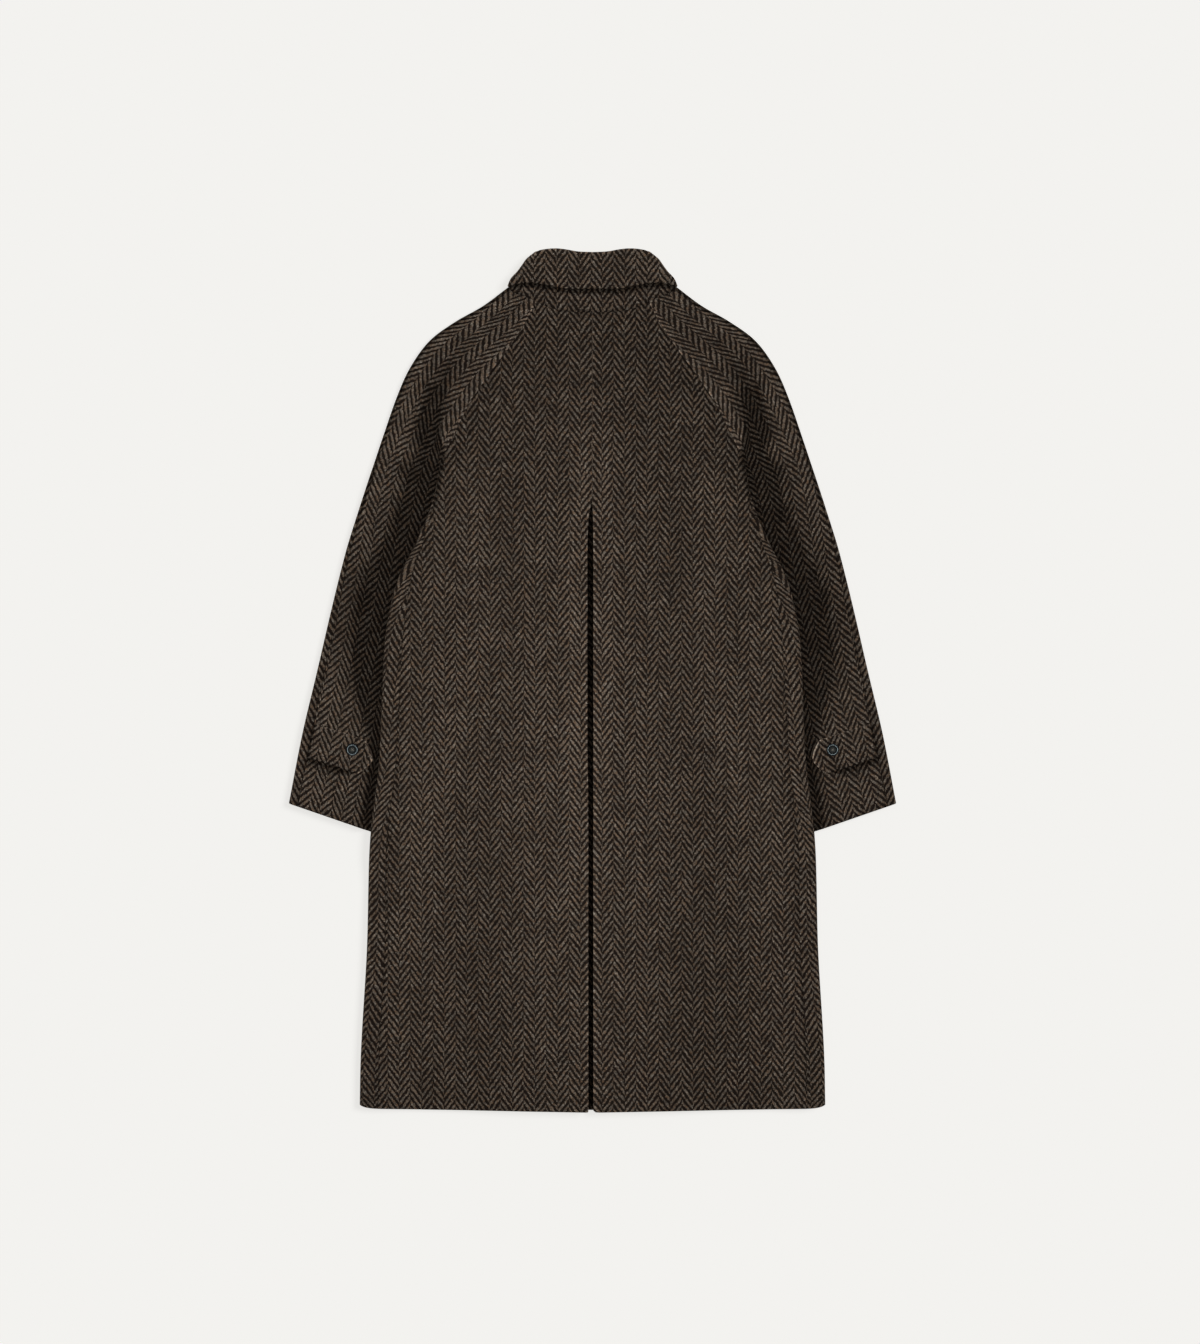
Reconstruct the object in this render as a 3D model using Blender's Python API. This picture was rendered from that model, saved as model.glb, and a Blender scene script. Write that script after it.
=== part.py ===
"""Raglan overcoat in heavy herringbone tweed, laid flat on its front with its back up.

Units are metres and +Z is up. The coat lies on the plane Z = 0 with its collar towards +Y.
A place on the coat is given by x, the distance out from the centre back, and drop, the distance
down from the nape (the middle of the back neck seam). Heights are those of a cloth's middle layer.
Every cloth piece is a sheet of points, worked out row by row, thickened to the cloth's wall.
"""

import math
from collections import namedtuple

import bmesh
import bpy
import numpy as np

# Cloth and seams
CLOTH = 0.003
GAP = 0.0003
LAYER = CLOTH + GAP
STRAP_CLOTH = 0.0036

# Heights of the layers, from the table up
FRONT_Z = CLOTH / 2
OVERLAP_Z = FRONT_Z + LAYER
UNDERLAY_Z = OVERLAP_Z + LAYER
RETURN_Z = UNDERLAY_Z + LAYER
PLEAT_ROLL = 0.0019
PLEAT_Z = RETURN_Z + 2 * PLEAT_ROLL
TUCK_LIFT = 2 * LAYER
LOFT = 0.0036
NECK_BACK_Z = 0.0130
NECK_FRONT_Z = 0.0060
NECK_RANGE = (-0.02, 0.16)

# Lengths down the body
HEM_DROP = 1.0795
HEM_EDGE_RISE = 0.0105
COLLAR_TOP_DROP = -0.0850
FRONT_HEM_RISE = 0.003
CENTRE_DROP = (HEM_DROP + COLLAR_TOP_DROP) / 2

# Folded sides of the body
SIDE_ROLL = 0.0055
SIDE_PUFF_WIDTH = 0.060
SEAM_INSET_START = math.pi * SIDE_ROLL / 2
SEAM_INSET_FULL = math.pi * SIDE_ROLL + 0.0165
SEAM_INSET_DROP = 0.45
SIDE_SEAM_GAP = 0.0007
SIDE_SEAM_GAP_UNDER_ARM = 0.0018
SIDE_FLAT = 0.020
SIDE_SETTLE = 0.030
SIDE_COLUMNS = 0.028

# Where the body lies over the tucked sleeves
TUCK_FROM_DROP = 0.190
TUCK_FULL_DROP = 0.222
TUCK_LAST_DROP = 0.718
TUCK_CLEAR_DROP = 0.778
TUCK_RAMP = 0.030
BACK_TUCK_RAMP = 0.070
TUCK_MARGIN = 0.006

# Centre back seam and inverted pleat
SEAM_ALLOWANCE = 0.014
PLEAT_DEPTH = 0.058
PLEAT_TOP_DROP = 0.270
PLEAT_FLAT = 0.066
PLEAT_FALL = 0.090
PLEAT_GAPE = 0.0036
PLEAT_CORNER = 0.006
UNDERLAY_RISE = 0.007

# Centre front
FLY_OVERLAP = 0.045
FLY_RAMP = 0.024

# Sleeves
SLEEVE_ROLL = 0.0034
SLEEVE_ROLL_AT_NECK = 0.0044
SLEEVE_TUCK_Z = FRONT_Z + LAYER
OVERARM_SEAM_OVER_EDGE = 0.005
OVERARM_GAP = 0.0010
BODY_CLEARANCE = 0.004
SEAM_STEP = 0.0006

# Cuff straps and buttons, placed by sleeve row and by the share of the way across the sleeve
STRAP_ROWS = (12.80, 13.31)
STRAP_ACROSS = (0.045, 0.560)
STRAP_POINT = 0.105
STRAP_TIP_LIFT = 0.0015
BUTTON_ROW = 13.0
BUTTON_ACROSS = 0.468
BUTTON_RADIUS = 0.0085
BUTTON_HEIGHT = 0.0040
BUTTON_HOLE_RADIUS = 0.0010
BUTTON_HOLE_OFFSET = 0.0019
BUTTON_STEPS = 24

# Collar
COLLAR_ROLL = 0.0024
COLLAR_SEAM_DEPTH = 0.008
COLLAR_SEAM_GAP = 0.0018
COLLAR_FRONT_Z = FRONT_Z + 0.0009
NECK_GAP = 0.0008
STAND_END_CLEARANCE = 0.006
COLLAR_SIDE_BOW = 0.0045
COLLAR_TURN = (0.46, 0.62)

# Down each side of the body: where the folded side lies
BodyRow = namedtuple("BodyRow", "drop edge")
BODY_ROWS = (
    BodyRow(0.2015, 0.2050),
    BodyRow(0.2540, 0.2150),
    BodyRow(0.3145, 0.2396),
    BodyRow(0.3550, 0.2600),
    BodyRow(0.4160, 0.2760),
    BodyRow(0.5240, 0.2840),
    BodyRow(0.7020, 0.2990),
    BodyRow(0.8610, 0.3044),
    BodyRow(1.0230, 0.3132),
    BodyRow(1.0795, 0.3140),
)
BODY_DROPS = (
    0.227, 0.252, 0.285, 0.325, 0.370, 0.430, 0.510, 0.600,
    0.690, 0.725, 0.760, 0.800, 0.890, 0.985, 1.055,
)

# Along each sleeve: its outer edge, its back and front raglan seams or hidden inner edge,
# and the shares of the way across between which the cloth changes to the inner edge's height
SleeveRow = namedtuple("SleeveRow", "edge_x edge_drop back_x back_drop front_x front_drop rise_from rise_to")
SLEEVE_ROWS = (
    SleeveRow(0.1130, -0.0278, 0.0760, -0.0135, 0.0800, 0.0170, 0.15, 1.00),
    SleeveRow(0.1480, -0.0075, 0.0905, 0.0130, 0.0955, 0.0360, 0.15, 1.00),
    SleeveRow(0.1860, 0.0140, 0.1130, 0.0480, 0.1160, 0.0640, 0.20, 1.00),
    SleeveRow(0.2205, 0.0395, 0.1420, 0.0870, 0.1440, 0.0980, 0.32, 0.95),
    SleeveRow(0.2465, 0.0755, 0.1690, 0.1290, 0.1700, 0.1350, 0.45, 0.90),
    SleeveRow(0.2645, 0.1155, 0.1890, 0.1690, 0.1895, 0.1710, 0.60, 0.95),
    SleeveRow(0.2825, 0.1670, 0.2050, 0.2015, 0.2050, 0.2015, 0.30, 0.90),
    SleeveRow(0.2935, 0.2000, 0.2108, 0.2250, 0.2050, 0.2250, 0.25, 0.90),
    SleeveRow(0.3020, 0.2260, 0.2060, 0.2490, 0.2000, 0.2490, 0.20, 0.85),
    SleeveRow(0.3160, 0.2690, 0.2030, 0.2920, 0.2030, 0.2920, 0.15, 0.80),
    SleeveRow(0.3330, 0.3240, 0.1960, 0.3620, 0.1960, 0.3620, 0.12, 0.60),
    SleeveRow(0.3520, 0.4000, 0.2010, 0.4450, 0.2010, 0.4450, 0.10, 0.50),
    SleeveRow(0.3720, 0.4860, 0.2180, 0.5340, 0.2180, 0.5340, 0.12, 0.55),
    SleeveRow(0.3915, 0.5690, 0.2420, 0.6160, 0.2420, 0.6160, 0.20, 0.65),
    SleeveRow(0.4097, 0.6630, 0.2680, 0.7120, 0.2680, 0.7120, 0.25, 0.75),
)
UNDERARM = 6
SLEEVE_END = len(SLEEVE_ROWS) - 1

# Round the neck, from the centre back out to the side, then along the front to the collar's end
NeckLine = namedtuple("NeckLine", "side_x top_z bottom_z back_x back_drop front_x front_drop")
LEAF_EDGE = NeckLine(
    0.1120, 0.0180, COLLAR_FRONT_Z,
    (0.0, 0.0600, 0.0900, 0.1120), (-0.0276, -0.0284, -0.0302, -0.0330),
    (0.0450, 0.0800, 0.1000, 0.1120), (0.0290, -0.0080, -0.0290, -0.0330),
)
ROLL_LINE = NeckLine(
    0.0770, 0.0174, COLLAR_FRONT_Z,
    (0.0, 0.0220, 0.0360, 0.0480, 0.0600, 0.0770), (-0.0785, -0.0797, -0.0822, -0.0835, -0.0830, -0.0800),
    (0.0180, 0.0450, 0.0660, 0.0770), (-0.0080, -0.0450, -0.0720, -0.0800),
)
NECK_SEAM = NeckLine(
    0.1070, NECK_BACK_Z, NECK_FRONT_Z,
    (0.0, 0.0330, 0.0590, 0.0760, 0.0950, 0.1070), (0.0, -0.0014, -0.0065, -0.0145, -0.0240, -0.0285),
    (0.0540, 0.0800, 0.1000, 0.1070), (0.0550, 0.0150, -0.0180, -0.0285),
)
FRONT_NECK_DROPS = (0.0680, 0.0850, 0.1060, 0.1300, 0.1560, 0.1810, 0.2040)

TWEED_COLOUR = (0.042, 0.031, 0.022, 1.0)
BUTTON_COLOUR = (0.012, 0.011, 0.010, 1.0)


def smooth(value):
    """0 below 0, 1 above 1, and an S-shaped rise between them."""
    t = min(1.0, max(0.0, value))
    return t * t * (3 - 2 * t)


def between(a, b, share):
    return a + (b - a) * share


def through(xs, ys, x):
    """A smooth curve through the points (xs, ys), read at x."""
    xs, ys = np.asarray(xs, float), np.asarray(ys, float)
    slopes = np.gradient(ys, xs)
    i = int(np.clip(np.searchsorted(xs, x) - 1, 0, len(xs) - 2))
    width = xs[i + 1] - xs[i]
    t = min(1.0, max(0.0, (x - xs[i]) / width))
    rest = 1 - t
    return float(
        ys[i] * (1 + 2 * t) * rest**2
        + slopes[i] * width * t * rest**2
        + ys[i + 1] * t**2 * (3 - 2 * t)
        - slopes[i + 1] * width * t**2 * rest
    )


def column(rows, name, at):
    """A column of the sleeve table, read smoothly at a row number that may be fractional."""
    return through(range(len(rows)), [getattr(row, name) for row in rows], at)


# The body's form

def body_edge(drop):
    """Half the width of the body, out to its folded side or to the back raglan seam."""
    if drop < BODY_ROWS[0].drop:
        rows = SLEEVE_ROWS[: UNDERARM + 1]
        return through([row.back_drop for row in rows], [row.back_x for row in rows], drop)
    return through([row.drop for row in BODY_ROWS], [row.edge for row in BODY_ROWS], drop)


def tuck_edge(drop):
    """How far in under the body the hidden inner edge of the sleeve reaches."""
    rows = SLEEVE_ROWS[UNDERARM + 2 :]
    return through([row.back_drop for row in rows], [row.back_x for row in rows], drop)


def tuck_start(drop):
    """Where the cloth over the tucked sleeve has risen to its full height."""
    return min(tuck_edge(drop), body_edge(drop) - 4 * CLOTH) - TUCK_MARGIN


def tuck_lift(x, drop, ramp):
    """How far the sleeve tucked under the body lifts the cloth above it."""
    rise = smooth((drop - TUCK_FROM_DROP) / (TUCK_FULL_DROP - TUCK_FROM_DROP))
    fall = smooth((drop - TUCK_LAST_DROP) / (TUCK_CLEAR_DROP - TUCK_LAST_DROP))
    return TUCK_LIFT * rise * (1 - fall) * smooth((x - tuck_start(drop) + ramp) / ramp)


def neck_share(drop):
    """1 at the nape, falling to 0 well down the back."""
    return 1 - smooth((drop - NECK_RANGE[0]) / (NECK_RANGE[1] - NECK_RANGE[0]))


def back_z(x, drop):
    """Height of the back: it lies on the front with a little loft, fuller at the pleat and the sides."""
    flat = FRONT_Z + LAYER + LOFT
    height = flat + tuck_lift(x, drop, BACK_TUCK_RAMP)
    height += (PLEAT_Z - flat) * (1 - smooth((x - PLEAT_FLAT) / PLEAT_FALL))
    inward = body_edge(drop) - x
    fullness = 1 if drop > BODY_ROWS[0].drop else 1 - neck_share(drop)
    at_side = (1 - smooth((inward - SIDE_FLAT) / SIDE_PUFF_WIDTH)) * smooth(x / PLEAT_FLAT - 0.6)
    height += (2 * SIDE_ROLL - LAYER - LOFT) * fullness * at_side
    return between(height, NECK_BACK_Z, neck_share(drop))


def front_z(x, drop):
    """Height of a front, flat on the table apart from what it lies over."""
    return FRONT_Z + tuck_lift(x, drop, TUCK_RAMP)


def side_path(along, drop):
    """(x, z) on the folded side, along the cloth from where the front starts to turn up."""
    edge = body_edge(drop) - CLOTH / 2 - SIDE_ROLL
    low = front_z(body_edge(drop), drop)
    turn = math.pi * SIDE_ROLL
    if along < turn:
        angle = along / SIDE_ROLL
        return edge + SIDE_ROLL * math.sin(angle), low + SIDE_ROLL * (1 - math.cos(angle))
    x = edge - (along - turn)
    top = low + 2 * SIDE_ROLL
    return x, between(top, back_z(x, drop), smooth((along - turn) / SIDE_SETTLE))


def seam_inset(drop):
    """Where the side seam lies along the folded side: at its edge under the arm, on the back lower down."""
    start = BODY_ROWS[0].drop
    return between(SEAM_INSET_START, SEAM_INSET_FULL, smooth((drop - start) / (SEAM_INSET_DROP - start)))


def hem_rise(share):
    """How far the hem lifts towards the side, with a rounded corner."""
    return HEM_EDGE_RISE * (0.5 * share + 0.5 * share**40)


def place(side, x, drop, z):
    return (side * x, CENTRE_DROP - drop, z)


# Making solids

def material(name, colour, roughness):
    made = bpy.data.materials.new(name)
    made.use_nodes = True
    shader = made.node_tree.nodes["Principled BSDF"]
    shader.inputs["Base Color"].default_value = colour
    shader.inputs["Roughness"].default_value = roughness
    shader.inputs["Metallic"].default_value = 0.0
    return made


def link(name, mesh, finish):
    made = bpy.data.objects.new(name, mesh)
    made.data.materials.append(finish)
    bpy.context.scene.collection.objects.link(made)
    return made


def cloth(name, grids, finish, wall=CLOTH):
    """A sheet through one or more grids of points, welded where they meet, thickened about its middle."""
    form = bmesh.new()
    for grid in grids:
        rows = [[form.verts.new(point) for point in row] for row in grid]
        for upper, lower in zip(rows, rows[1:]):
            for i in range(len(upper) - 1):
                form.faces.new((upper[i], lower[i], lower[i + 1], upper[i + 1]))
    bmesh.ops.remove_doubles(form, verts=form.verts, dist=1e-6)
    bmesh.ops.recalc_face_normals(form, faces=form.faces)
    mesh = bpy.data.meshes.new(name)
    form.to_mesh(mesh)
    form.free()
    made = link(name, mesh, finish)
    thicken = made.modifiers.new("wall", "SOLIDIFY")
    thicken.thickness = wall
    thicken.offset = 0.0
    thicken.use_even_offset = True
    thicken.use_quality_normals = True
    mesh.shade_smooth()
    return made


# Back panels and pleat

def pleat_gape(side, drop):
    """How far a folded edge lies from the centre: closed at the seam, the left one drawn back down the pleat."""
    opening = smooth((drop - PLEAT_TOP_DROP) / 0.50) if side < 0 else 0
    return GAP / 2 + PLEAT_GAPE * opening


def pleat_return(drop):
    """How far the cloth turns under: a seam allowance above the pleat, the pleat's own depth below it."""
    return between(SEAM_ALLOWANCE, PLEAT_DEPTH, smooth((drop - PLEAT_TOP_DROP + 0.03) / 0.03))


def back_outer(row, drop):
    """(x, z) of the columns nearest the raglan or side seam."""
    if row is not None and row < UNDERARM:
        xs = np.linspace(body_edge(drop) - GAP, body_edge(drop) - SIDE_COLUMNS, 6)
        return [(x, back_z(x, drop)) for x in xs]
    below_arm = smooth((drop - BODY_ROWS[0].drop) / 0.08)
    start = seam_inset(drop) + between(SIDE_SEAM_GAP_UNDER_ARM, SIDE_SEAM_GAP, below_arm)
    end = math.pi * SIDE_ROLL + 2 * SIDE_COLUMNS
    shares = (0.0, SEAM_STEP / (end - start), 0.08, 0.20, 0.40, 1.0)
    return [side_path(between(start, end, share), drop) for share in shares]


def back_inner(side, drop):
    """(x, z) from the flat of the back in to the folded edge, round it, and along the turned-under return."""
    edge = pleat_gape(side, drop) + CLOTH / 2
    centre = edge + PLEAT_ROLL
    top = back_z(centre, drop)
    turn = [
        (centre - PLEAT_ROLL * math.sin(a), top - PLEAT_ROLL * (1 - math.cos(a)))
        for a in np.linspace(0, math.pi, 6)
    ]
    end = edge + pleat_return(drop)
    flat = [(x, back_z(x, drop) - 2 * PLEAT_ROLL) for x in np.linspace(centre, end, 3)[1:]]
    return turn + flat


def back_row(side, row, drop, middle_drop):
    """The points of one row, from the side in to the centre; drops run from the side's to the middle's."""
    outer = back_outer(row, drop)
    inner = back_inner(side, middle_drop)
    first, last = outer[-1][0], inner[0][0]
    flats = [(x, back_z(x, drop)) for x in np.linspace(first, last, 8)[1:-1]]
    width = body_edge(drop)
    return [(x, min(1.0, x / width), z) for x, z in outer + flats + inner]


def back_panel(side, finish):
    rows = []
    for i in range(UNDERARM + 1):
        drop = SLEEVE_ROWS[i].back_drop
        middle = drop + (NECK_GAP - SLEEVE_ROWS[0].back_drop) * max(0.0, 1 - (drop + 0.0135) / 0.12)
        points = back_row(side, i, drop, middle)
        rows.append([place(side, x, between(middle, drop, share**3), z) for x, share, z in points])
    for drop in BODY_DROPS:
        rows.append([place(side, x, drop, z) for x, _, z in back_row(side, None, drop, drop)])
    hem = []
    for x, share, z in back_row(side, None, HEM_DROP, HEM_DROP):
        corner = PLEAT_CORNER * max(0.0, 1 - x / PLEAT_CORNER) ** 2
        hem.append(place(side, x, HEM_DROP - hem_rise(share) - corner, z))
    rows.append(hem)
    return cloth(f"back_{SIDES[side]}", [rows], finish)


def pleat_underlay(finish):
    """The strip behind the pleat, under both returns."""
    rows = []
    drops = [PLEAT_TOP_DROP - 0.02] + [d for d in BODY_DROPS if d > PLEAT_TOP_DROP] + [HEM_DROP - UNDERLAY_RISE]
    for drop in drops:
        rows.append([place(1, x, drop, UNDERLAY_Z) for x in np.linspace(-PLEAT_DEPTH, PLEAT_DEPTH, 4)])
    return cloth("pleat_underlay", [rows], finish)


# Fronts

def fly_lift(side, x):
    """The wearer's right front lies over the left one at the centre front."""
    return 0.0 if side < 0 else LAYER * (1 - smooth((x - FLY_OVERLAP - 0.003) / FLY_RAMP))


def front_neck(x):
    """Drop of the front's neck edge, just below the collar stand."""
    end_x, end_drop = NECK_SEAM.front_x[0], NECK_SEAM.front_drop[0]
    if x < end_x:
        return between(FRONT_NECK_DROPS[0], end_drop + STAND_END_CLEARANCE, max(0.0, x) / end_x)
    clearance = STAND_END_CLEARANCE * (1 - smooth((x - end_x - 0.004) / 0.02))
    return through(NECK_SEAM.front_x, NECK_SEAM.front_drop, x) + clearance + 2 * NECK_GAP


def front_hem_rise(share):
    """How far a front's hem lies above the back's level: a little higher, but even with it at the side."""
    return FRONT_HEM_RISE * (1 - share**8) + hem_rise(share)


def front_columns(drop, reach):
    """Distances out from the centre of a front's columns, closer where it climbs over the tucked sleeve."""
    fly = (-FLY_OVERLAP, 0.0, FLY_OVERLAP + 0.003, FLY_OVERLAP + 0.015, FLY_OVERLAP + 0.028)
    top = min(tuck_start(drop), reach - 0.010)
    ramp = [top - TUCK_RAMP * share for share in (1.0, 0.7, 0.3, 0.0)]
    if ramp[0] < fly[-1]:
        return [*fly[:-1], *np.linspace(min(fly[-1], reach - 0.012), reach, 6)]
    return [*fly, *ramp, reach]


def front_panel(side, finish):
    rows, strip = [], []
    stations = [(SLEEVE_ROWS[i].front_x - GAP, SLEEVE_ROWS[i].front_drop) for i in range(UNDERARM)]
    stations += [(side_path(0.0, drop)[0], drop) for drop in (BODY_ROWS[0].drop, *BODY_DROPS, HEM_DROP)]
    for number, (reach, drop) in enumerate(stations):
        last = number == len(stations) - 1
        middle = FRONT_NECK_DROPS[number] if number < len(FRONT_NECK_DROPS) else drop
        row = []
        for x in front_columns(drop, reach):
            share = max(0.0, x) / reach
            fall = between(middle, drop, share ** max(1, 5 - number)) if number else front_neck(x)
            fall -= front_hem_rise(share) if last else 0
            at_neck = (1 - smooth(number / 2)) * smooth((x - FLY_OVERLAP - 0.003) / 0.012)
            z = front_z(x, drop) + fly_lift(side, x) + (NECK_FRONT_Z - FRONT_Z) * at_neck
            row.append(place(side, x, fall, z))
        rows.append(row)
        if number >= UNDERARM:
            seam = seam_inset(drop)
            turn = [side_path(along, drop) for along in (*np.linspace(0, seam - SEAM_STEP, 7), seam)]
            strip.append([row[-1]])
            for x, z in turn[1:]:
                rise = hem_rise(x / body_edge(drop)) if last else 0
                strip[-1].append(place(side, x, drop - rise, z))
    return cloth(f"front_{SIDES[side]}", [rows, strip], finish)


# Sleeves

def sleeve_inner_z(row):
    """Height of the inner edge of the sleeve's back: on the raglan seam, then tucked under the body."""
    seam = [back_z(r.back_x, r.back_drop) for r in SLEEVE_ROWS[:UNDERARM]]
    drop = BODY_ROWS[0].drop
    underarm = front_z(body_edge(drop), drop) + SIDE_ROLL
    heights = [*seam, underarm, *[SLEEVE_TUCK_Z] * (SLEEVE_END - UNDERARM)]
    i = min(int(row), SLEEVE_END - 1)
    return between(heights[i], heights[i + 1], row - i)


def sleeve_roll(row):
    """Radius of the sleeve's rolled outer edge, a little fuller at the neck."""
    return between(SLEEVE_ROLL_AT_NECK, SLEEVE_ROLL, smooth(row / 2))


def sleeve_back_point(row, across):
    """A point of the sleeve's back: across runs from 0 at the top of the edge's roll to 1 at the inner edge."""
    edge_x, edge_drop = column(SLEEVE_ROWS, "edge_x", row), column(SLEEVE_ROWS, "edge_drop", row)
    in_x, in_drop = column(SLEEVE_ROWS, "back_x", row), column(SLEEVE_ROWS, "back_drop", row)
    length = math.hypot(in_x - edge_x, in_drop - edge_drop)
    roll = sleeve_roll(row)
    start = (CLOTH / 2 + roll) / length
    end = 1 - GAP / length
    share = between(start, end, across)
    rise_from, rise_to = column(SLEEVE_ROWS, "rise_from", row), column(SLEEVE_ROWS, "rise_to", row)
    x = between(edge_x, in_x, share)
    drop = between(edge_drop, in_drop, share)
    z = between(FRONT_Z + 2 * roll, sleeve_inner_z(row), smooth((across - rise_from) / (rise_to - rise_from)))
    if row > UNDERARM + 0.99:
        room = x - body_edge(drop)
        z = between(SLEEVE_TUCK_Z, z, smooth((room - BODY_CLEARANCE) / 0.02))
    return x, drop, z


def sleeve_path(row, along):
    """A point along the cloth of the sleeve, from the table, round the outer edge and over the back."""
    edge_x, edge_drop = column(SLEEVE_ROWS, "edge_x", row), column(SLEEVE_ROWS, "edge_drop", row)
    in_x, in_drop = column(SLEEVE_ROWS, "back_x", row), column(SLEEVE_ROWS, "back_drop", row)
    length = math.hypot(in_x - edge_x, in_drop - edge_drop)
    roll = sleeve_roll(row)
    if along > math.pi * roll:
        return sleeve_back_point(row, (along - math.pi * roll) / (length - CLOTH / 2 - roll))
    angle = along / roll
    share = (CLOTH / 2 + roll * (1 - math.sin(angle))) / length
    z = FRONT_Z + roll * (1 - math.cos(angle))
    return between(edge_x, in_x, share), between(edge_drop, in_drop, share), z


def overarm_seam(row):
    """Where the overarm seam lies along the cloth: at the very edge, and just over it near the cuff."""
    turn = math.pi * sleeve_roll(row)
    return between(turn / 2, turn + OVERARM_SEAM_OVER_EDGE, smooth((row - 7) / 6))


def sleeve_back(side, finish):
    rows = []
    for row in range(SLEEVE_END + 1):
        start = overarm_seam(row) + OVERARM_GAP / 2
        points = [sleeve_path(row, start + step) for step in (0.0, SEAM_STEP, 0.0026, 0.0054, 0.0100)]
        first = (start + 0.0100 - math.pi * sleeve_roll(row)) / 0.1
        points += [sleeve_back_point(row, across) for across in np.linspace(max(first, 0.12), 1, 9)]
        rows.append([place(side, *point) for point in points])
    return cloth(f"sleeve_back_{SIDES[side]}", [rows], finish)


def sleeve_front(side, finish):
    rows = []
    for row in range(SLEEVE_END + 1):
        start = overarm_seam(row) - OVERARM_GAP / 2
        points = [sleeve_path(row, along) for along in (start, *np.linspace(start - SEAM_STEP, 0, 5))]
        in_x, in_drop = SLEEVE_ROWS[row].front_x, SLEEVE_ROWS[row].front_drop
        x, drop, _ = points[-1]
        length = math.hypot(in_x - x, in_drop - drop)
        neck = (NECK_FRONT_Z - FRONT_Z) * (1 - smooth(row / 2))
        for share in (0.3, 0.65, 1.0 - GAP / length):
            points.append((between(x, in_x, share), between(drop, in_drop, share), FRONT_Z + neck * share))
        rows.append([place(side, *point) for point in points])
    return cloth(f"sleeve_front_{SIDES[side]}", [rows], finish)


def cuff_strap(side, finish):
    """The buttoned strap across the back of the cuff: the sleeve's own points, moved out, with a pointed end."""
    rows = []
    for share in np.linspace(0, 1, 7):
        row = between(*STRAP_ROWS, share)
        point = STRAP_POINT * (1 - abs(2 * share - 1) ** 1.6)
        end = STRAP_ACROSS[1] + point
        points = []
        for across in np.linspace(STRAP_ACROSS[0], end, 8):
            x, drop, z = sleeve_back_point(row, across)
            lift = CLOTH / 2 + GAP + STRAP_CLOTH / 2 + STRAP_TIP_LIFT * smooth((across - 0.35) / 0.3)
            points.append(place(side, x, drop, z + lift))
        rows.append(points)
    return cloth(f"cuff_strap_{SIDES[side]}", [rows], finish, STRAP_CLOTH)


def button_profile():
    """The turned section of a button, down its outer side: a rim round a dished middle."""
    r, h = BUTTON_RADIUS, BUTTON_HEIGHT
    return (
        (0.0, 0.55 * h), (0.50 * r, 0.60 * h), (0.66 * r, 0.92 * h), (0.78 * r, h),
        (0.90 * r, 0.92 * h), (r, 0.55 * h), (0.94 * r, 0.20 * h), (0.70 * r, 0.0), (0.0, 0.0),
    )


def cuff_button(side, finish):
    x, drop, z = sleeve_back_point(BUTTON_ROW, BUTTON_ACROSS)
    lift = CLOTH / 2 + GAP + STRAP_CLOTH + STRAP_TIP_LIFT * smooth((BUTTON_ACROSS - 0.35) / 0.3) + 3 * GAP
    name = f"cuff_button_{SIDES[side]}"
    form = bmesh.new()
    points = [form.verts.new((radius, 0.0, height)) for radius, height in button_profile()]
    for a, b in zip(points, points[1:]):
        form.edges.new((a, b))
    bmesh.ops.spin(
        form, geom=form.verts[:] + form.edges[:], angle=2 * math.pi, steps=BUTTON_STEPS,
        axis=(0, 0, 1), cent=(0, 0, 0), use_merge=True,
    )
    bmesh.ops.remove_doubles(form, verts=form.verts, dist=1e-6)
    bmesh.ops.recalc_face_normals(form, faces=form.faces)
    mesh = bpy.data.meshes.new(name)
    form.to_mesh(mesh)
    form.free()
    button = link(name, mesh, finish)
    button.location = place(side, x, drop, z + lift)
    for i in range(4):
        angle = math.pi / 4 + i * math.pi / 2
        cutter = button_hole(button, angle)
        cut = button.modifiers.new(f"hole_{i}", "BOOLEAN")
        cut.operation = "DIFFERENCE"
        cut.object = cutter
    return button


def button_hole(button, angle):
    form = bmesh.new()
    bmesh.ops.create_cone(
        form, cap_ends=True, segments=10, radius1=BUTTON_HOLE_RADIUS, radius2=BUTTON_HOLE_RADIUS,
        depth=3 * BUTTON_HEIGHT,
    )
    mesh = bpy.data.meshes.new("button_hole")
    form.to_mesh(mesh)
    form.free()
    cutter = bpy.data.objects.new("button_hole", mesh)
    bpy.context.scene.collection.objects.link(cutter)
    reach = BUTTON_HOLE_OFFSET
    cutter.location = button.location
    cutter.location.x += reach * math.cos(angle)
    cutter.location.y += reach * math.sin(angle)
    cutter.hide_render = True
    cutter.display_type = "WIRE"
    return cutter


# Collar

def ring(line, u):
    """A point on a line round the neck, and the way in from it: u is 0 at the centre back, 1 at the front end."""
    radius = (line.top_z - line.bottom_z) / 2
    turn_x = line.side_x - radius
    start, end = COLLAR_TURN
    if u <= start:
        x = turn_x * u / start
        return np.array((x, through(line.back_x, line.back_drop, x), line.top_z)), np.array((0.0, 0.0, -1.0))
    if u >= end:
        x = between(turn_x, line.front_x[0], (u - end) / (1 - end))
        return np.array((x, through(line.front_x, line.front_drop, x), line.bottom_z)), np.array((0.0, 0.0, 1.0))
    angle = math.pi * (u - start) / (end - start)
    x = turn_x + radius * math.sin(angle)
    drops = through(line.back_x, line.back_drop, x), through(line.front_x, line.front_drop, x)
    drop = between(*drops, (1 - math.cos(angle)) / 2)
    z = line.bottom_z + radius * (1 + math.cos(angle))
    return np.array((x, drop, z)), np.array((-math.sin(angle), 0.0, -math.cos(angle)))


def collar_stations():
    """Stations along the whole collar, -1 to 1, closer together where it turns round the sides."""
    start, end = COLLAR_TURN
    half = [*np.linspace(0, start, 6), *np.linspace(start, end, 7)[1:], *np.linspace(end, 1, 4)[1:]]
    return [-u for u in half[:0:-1]] + half


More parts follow.
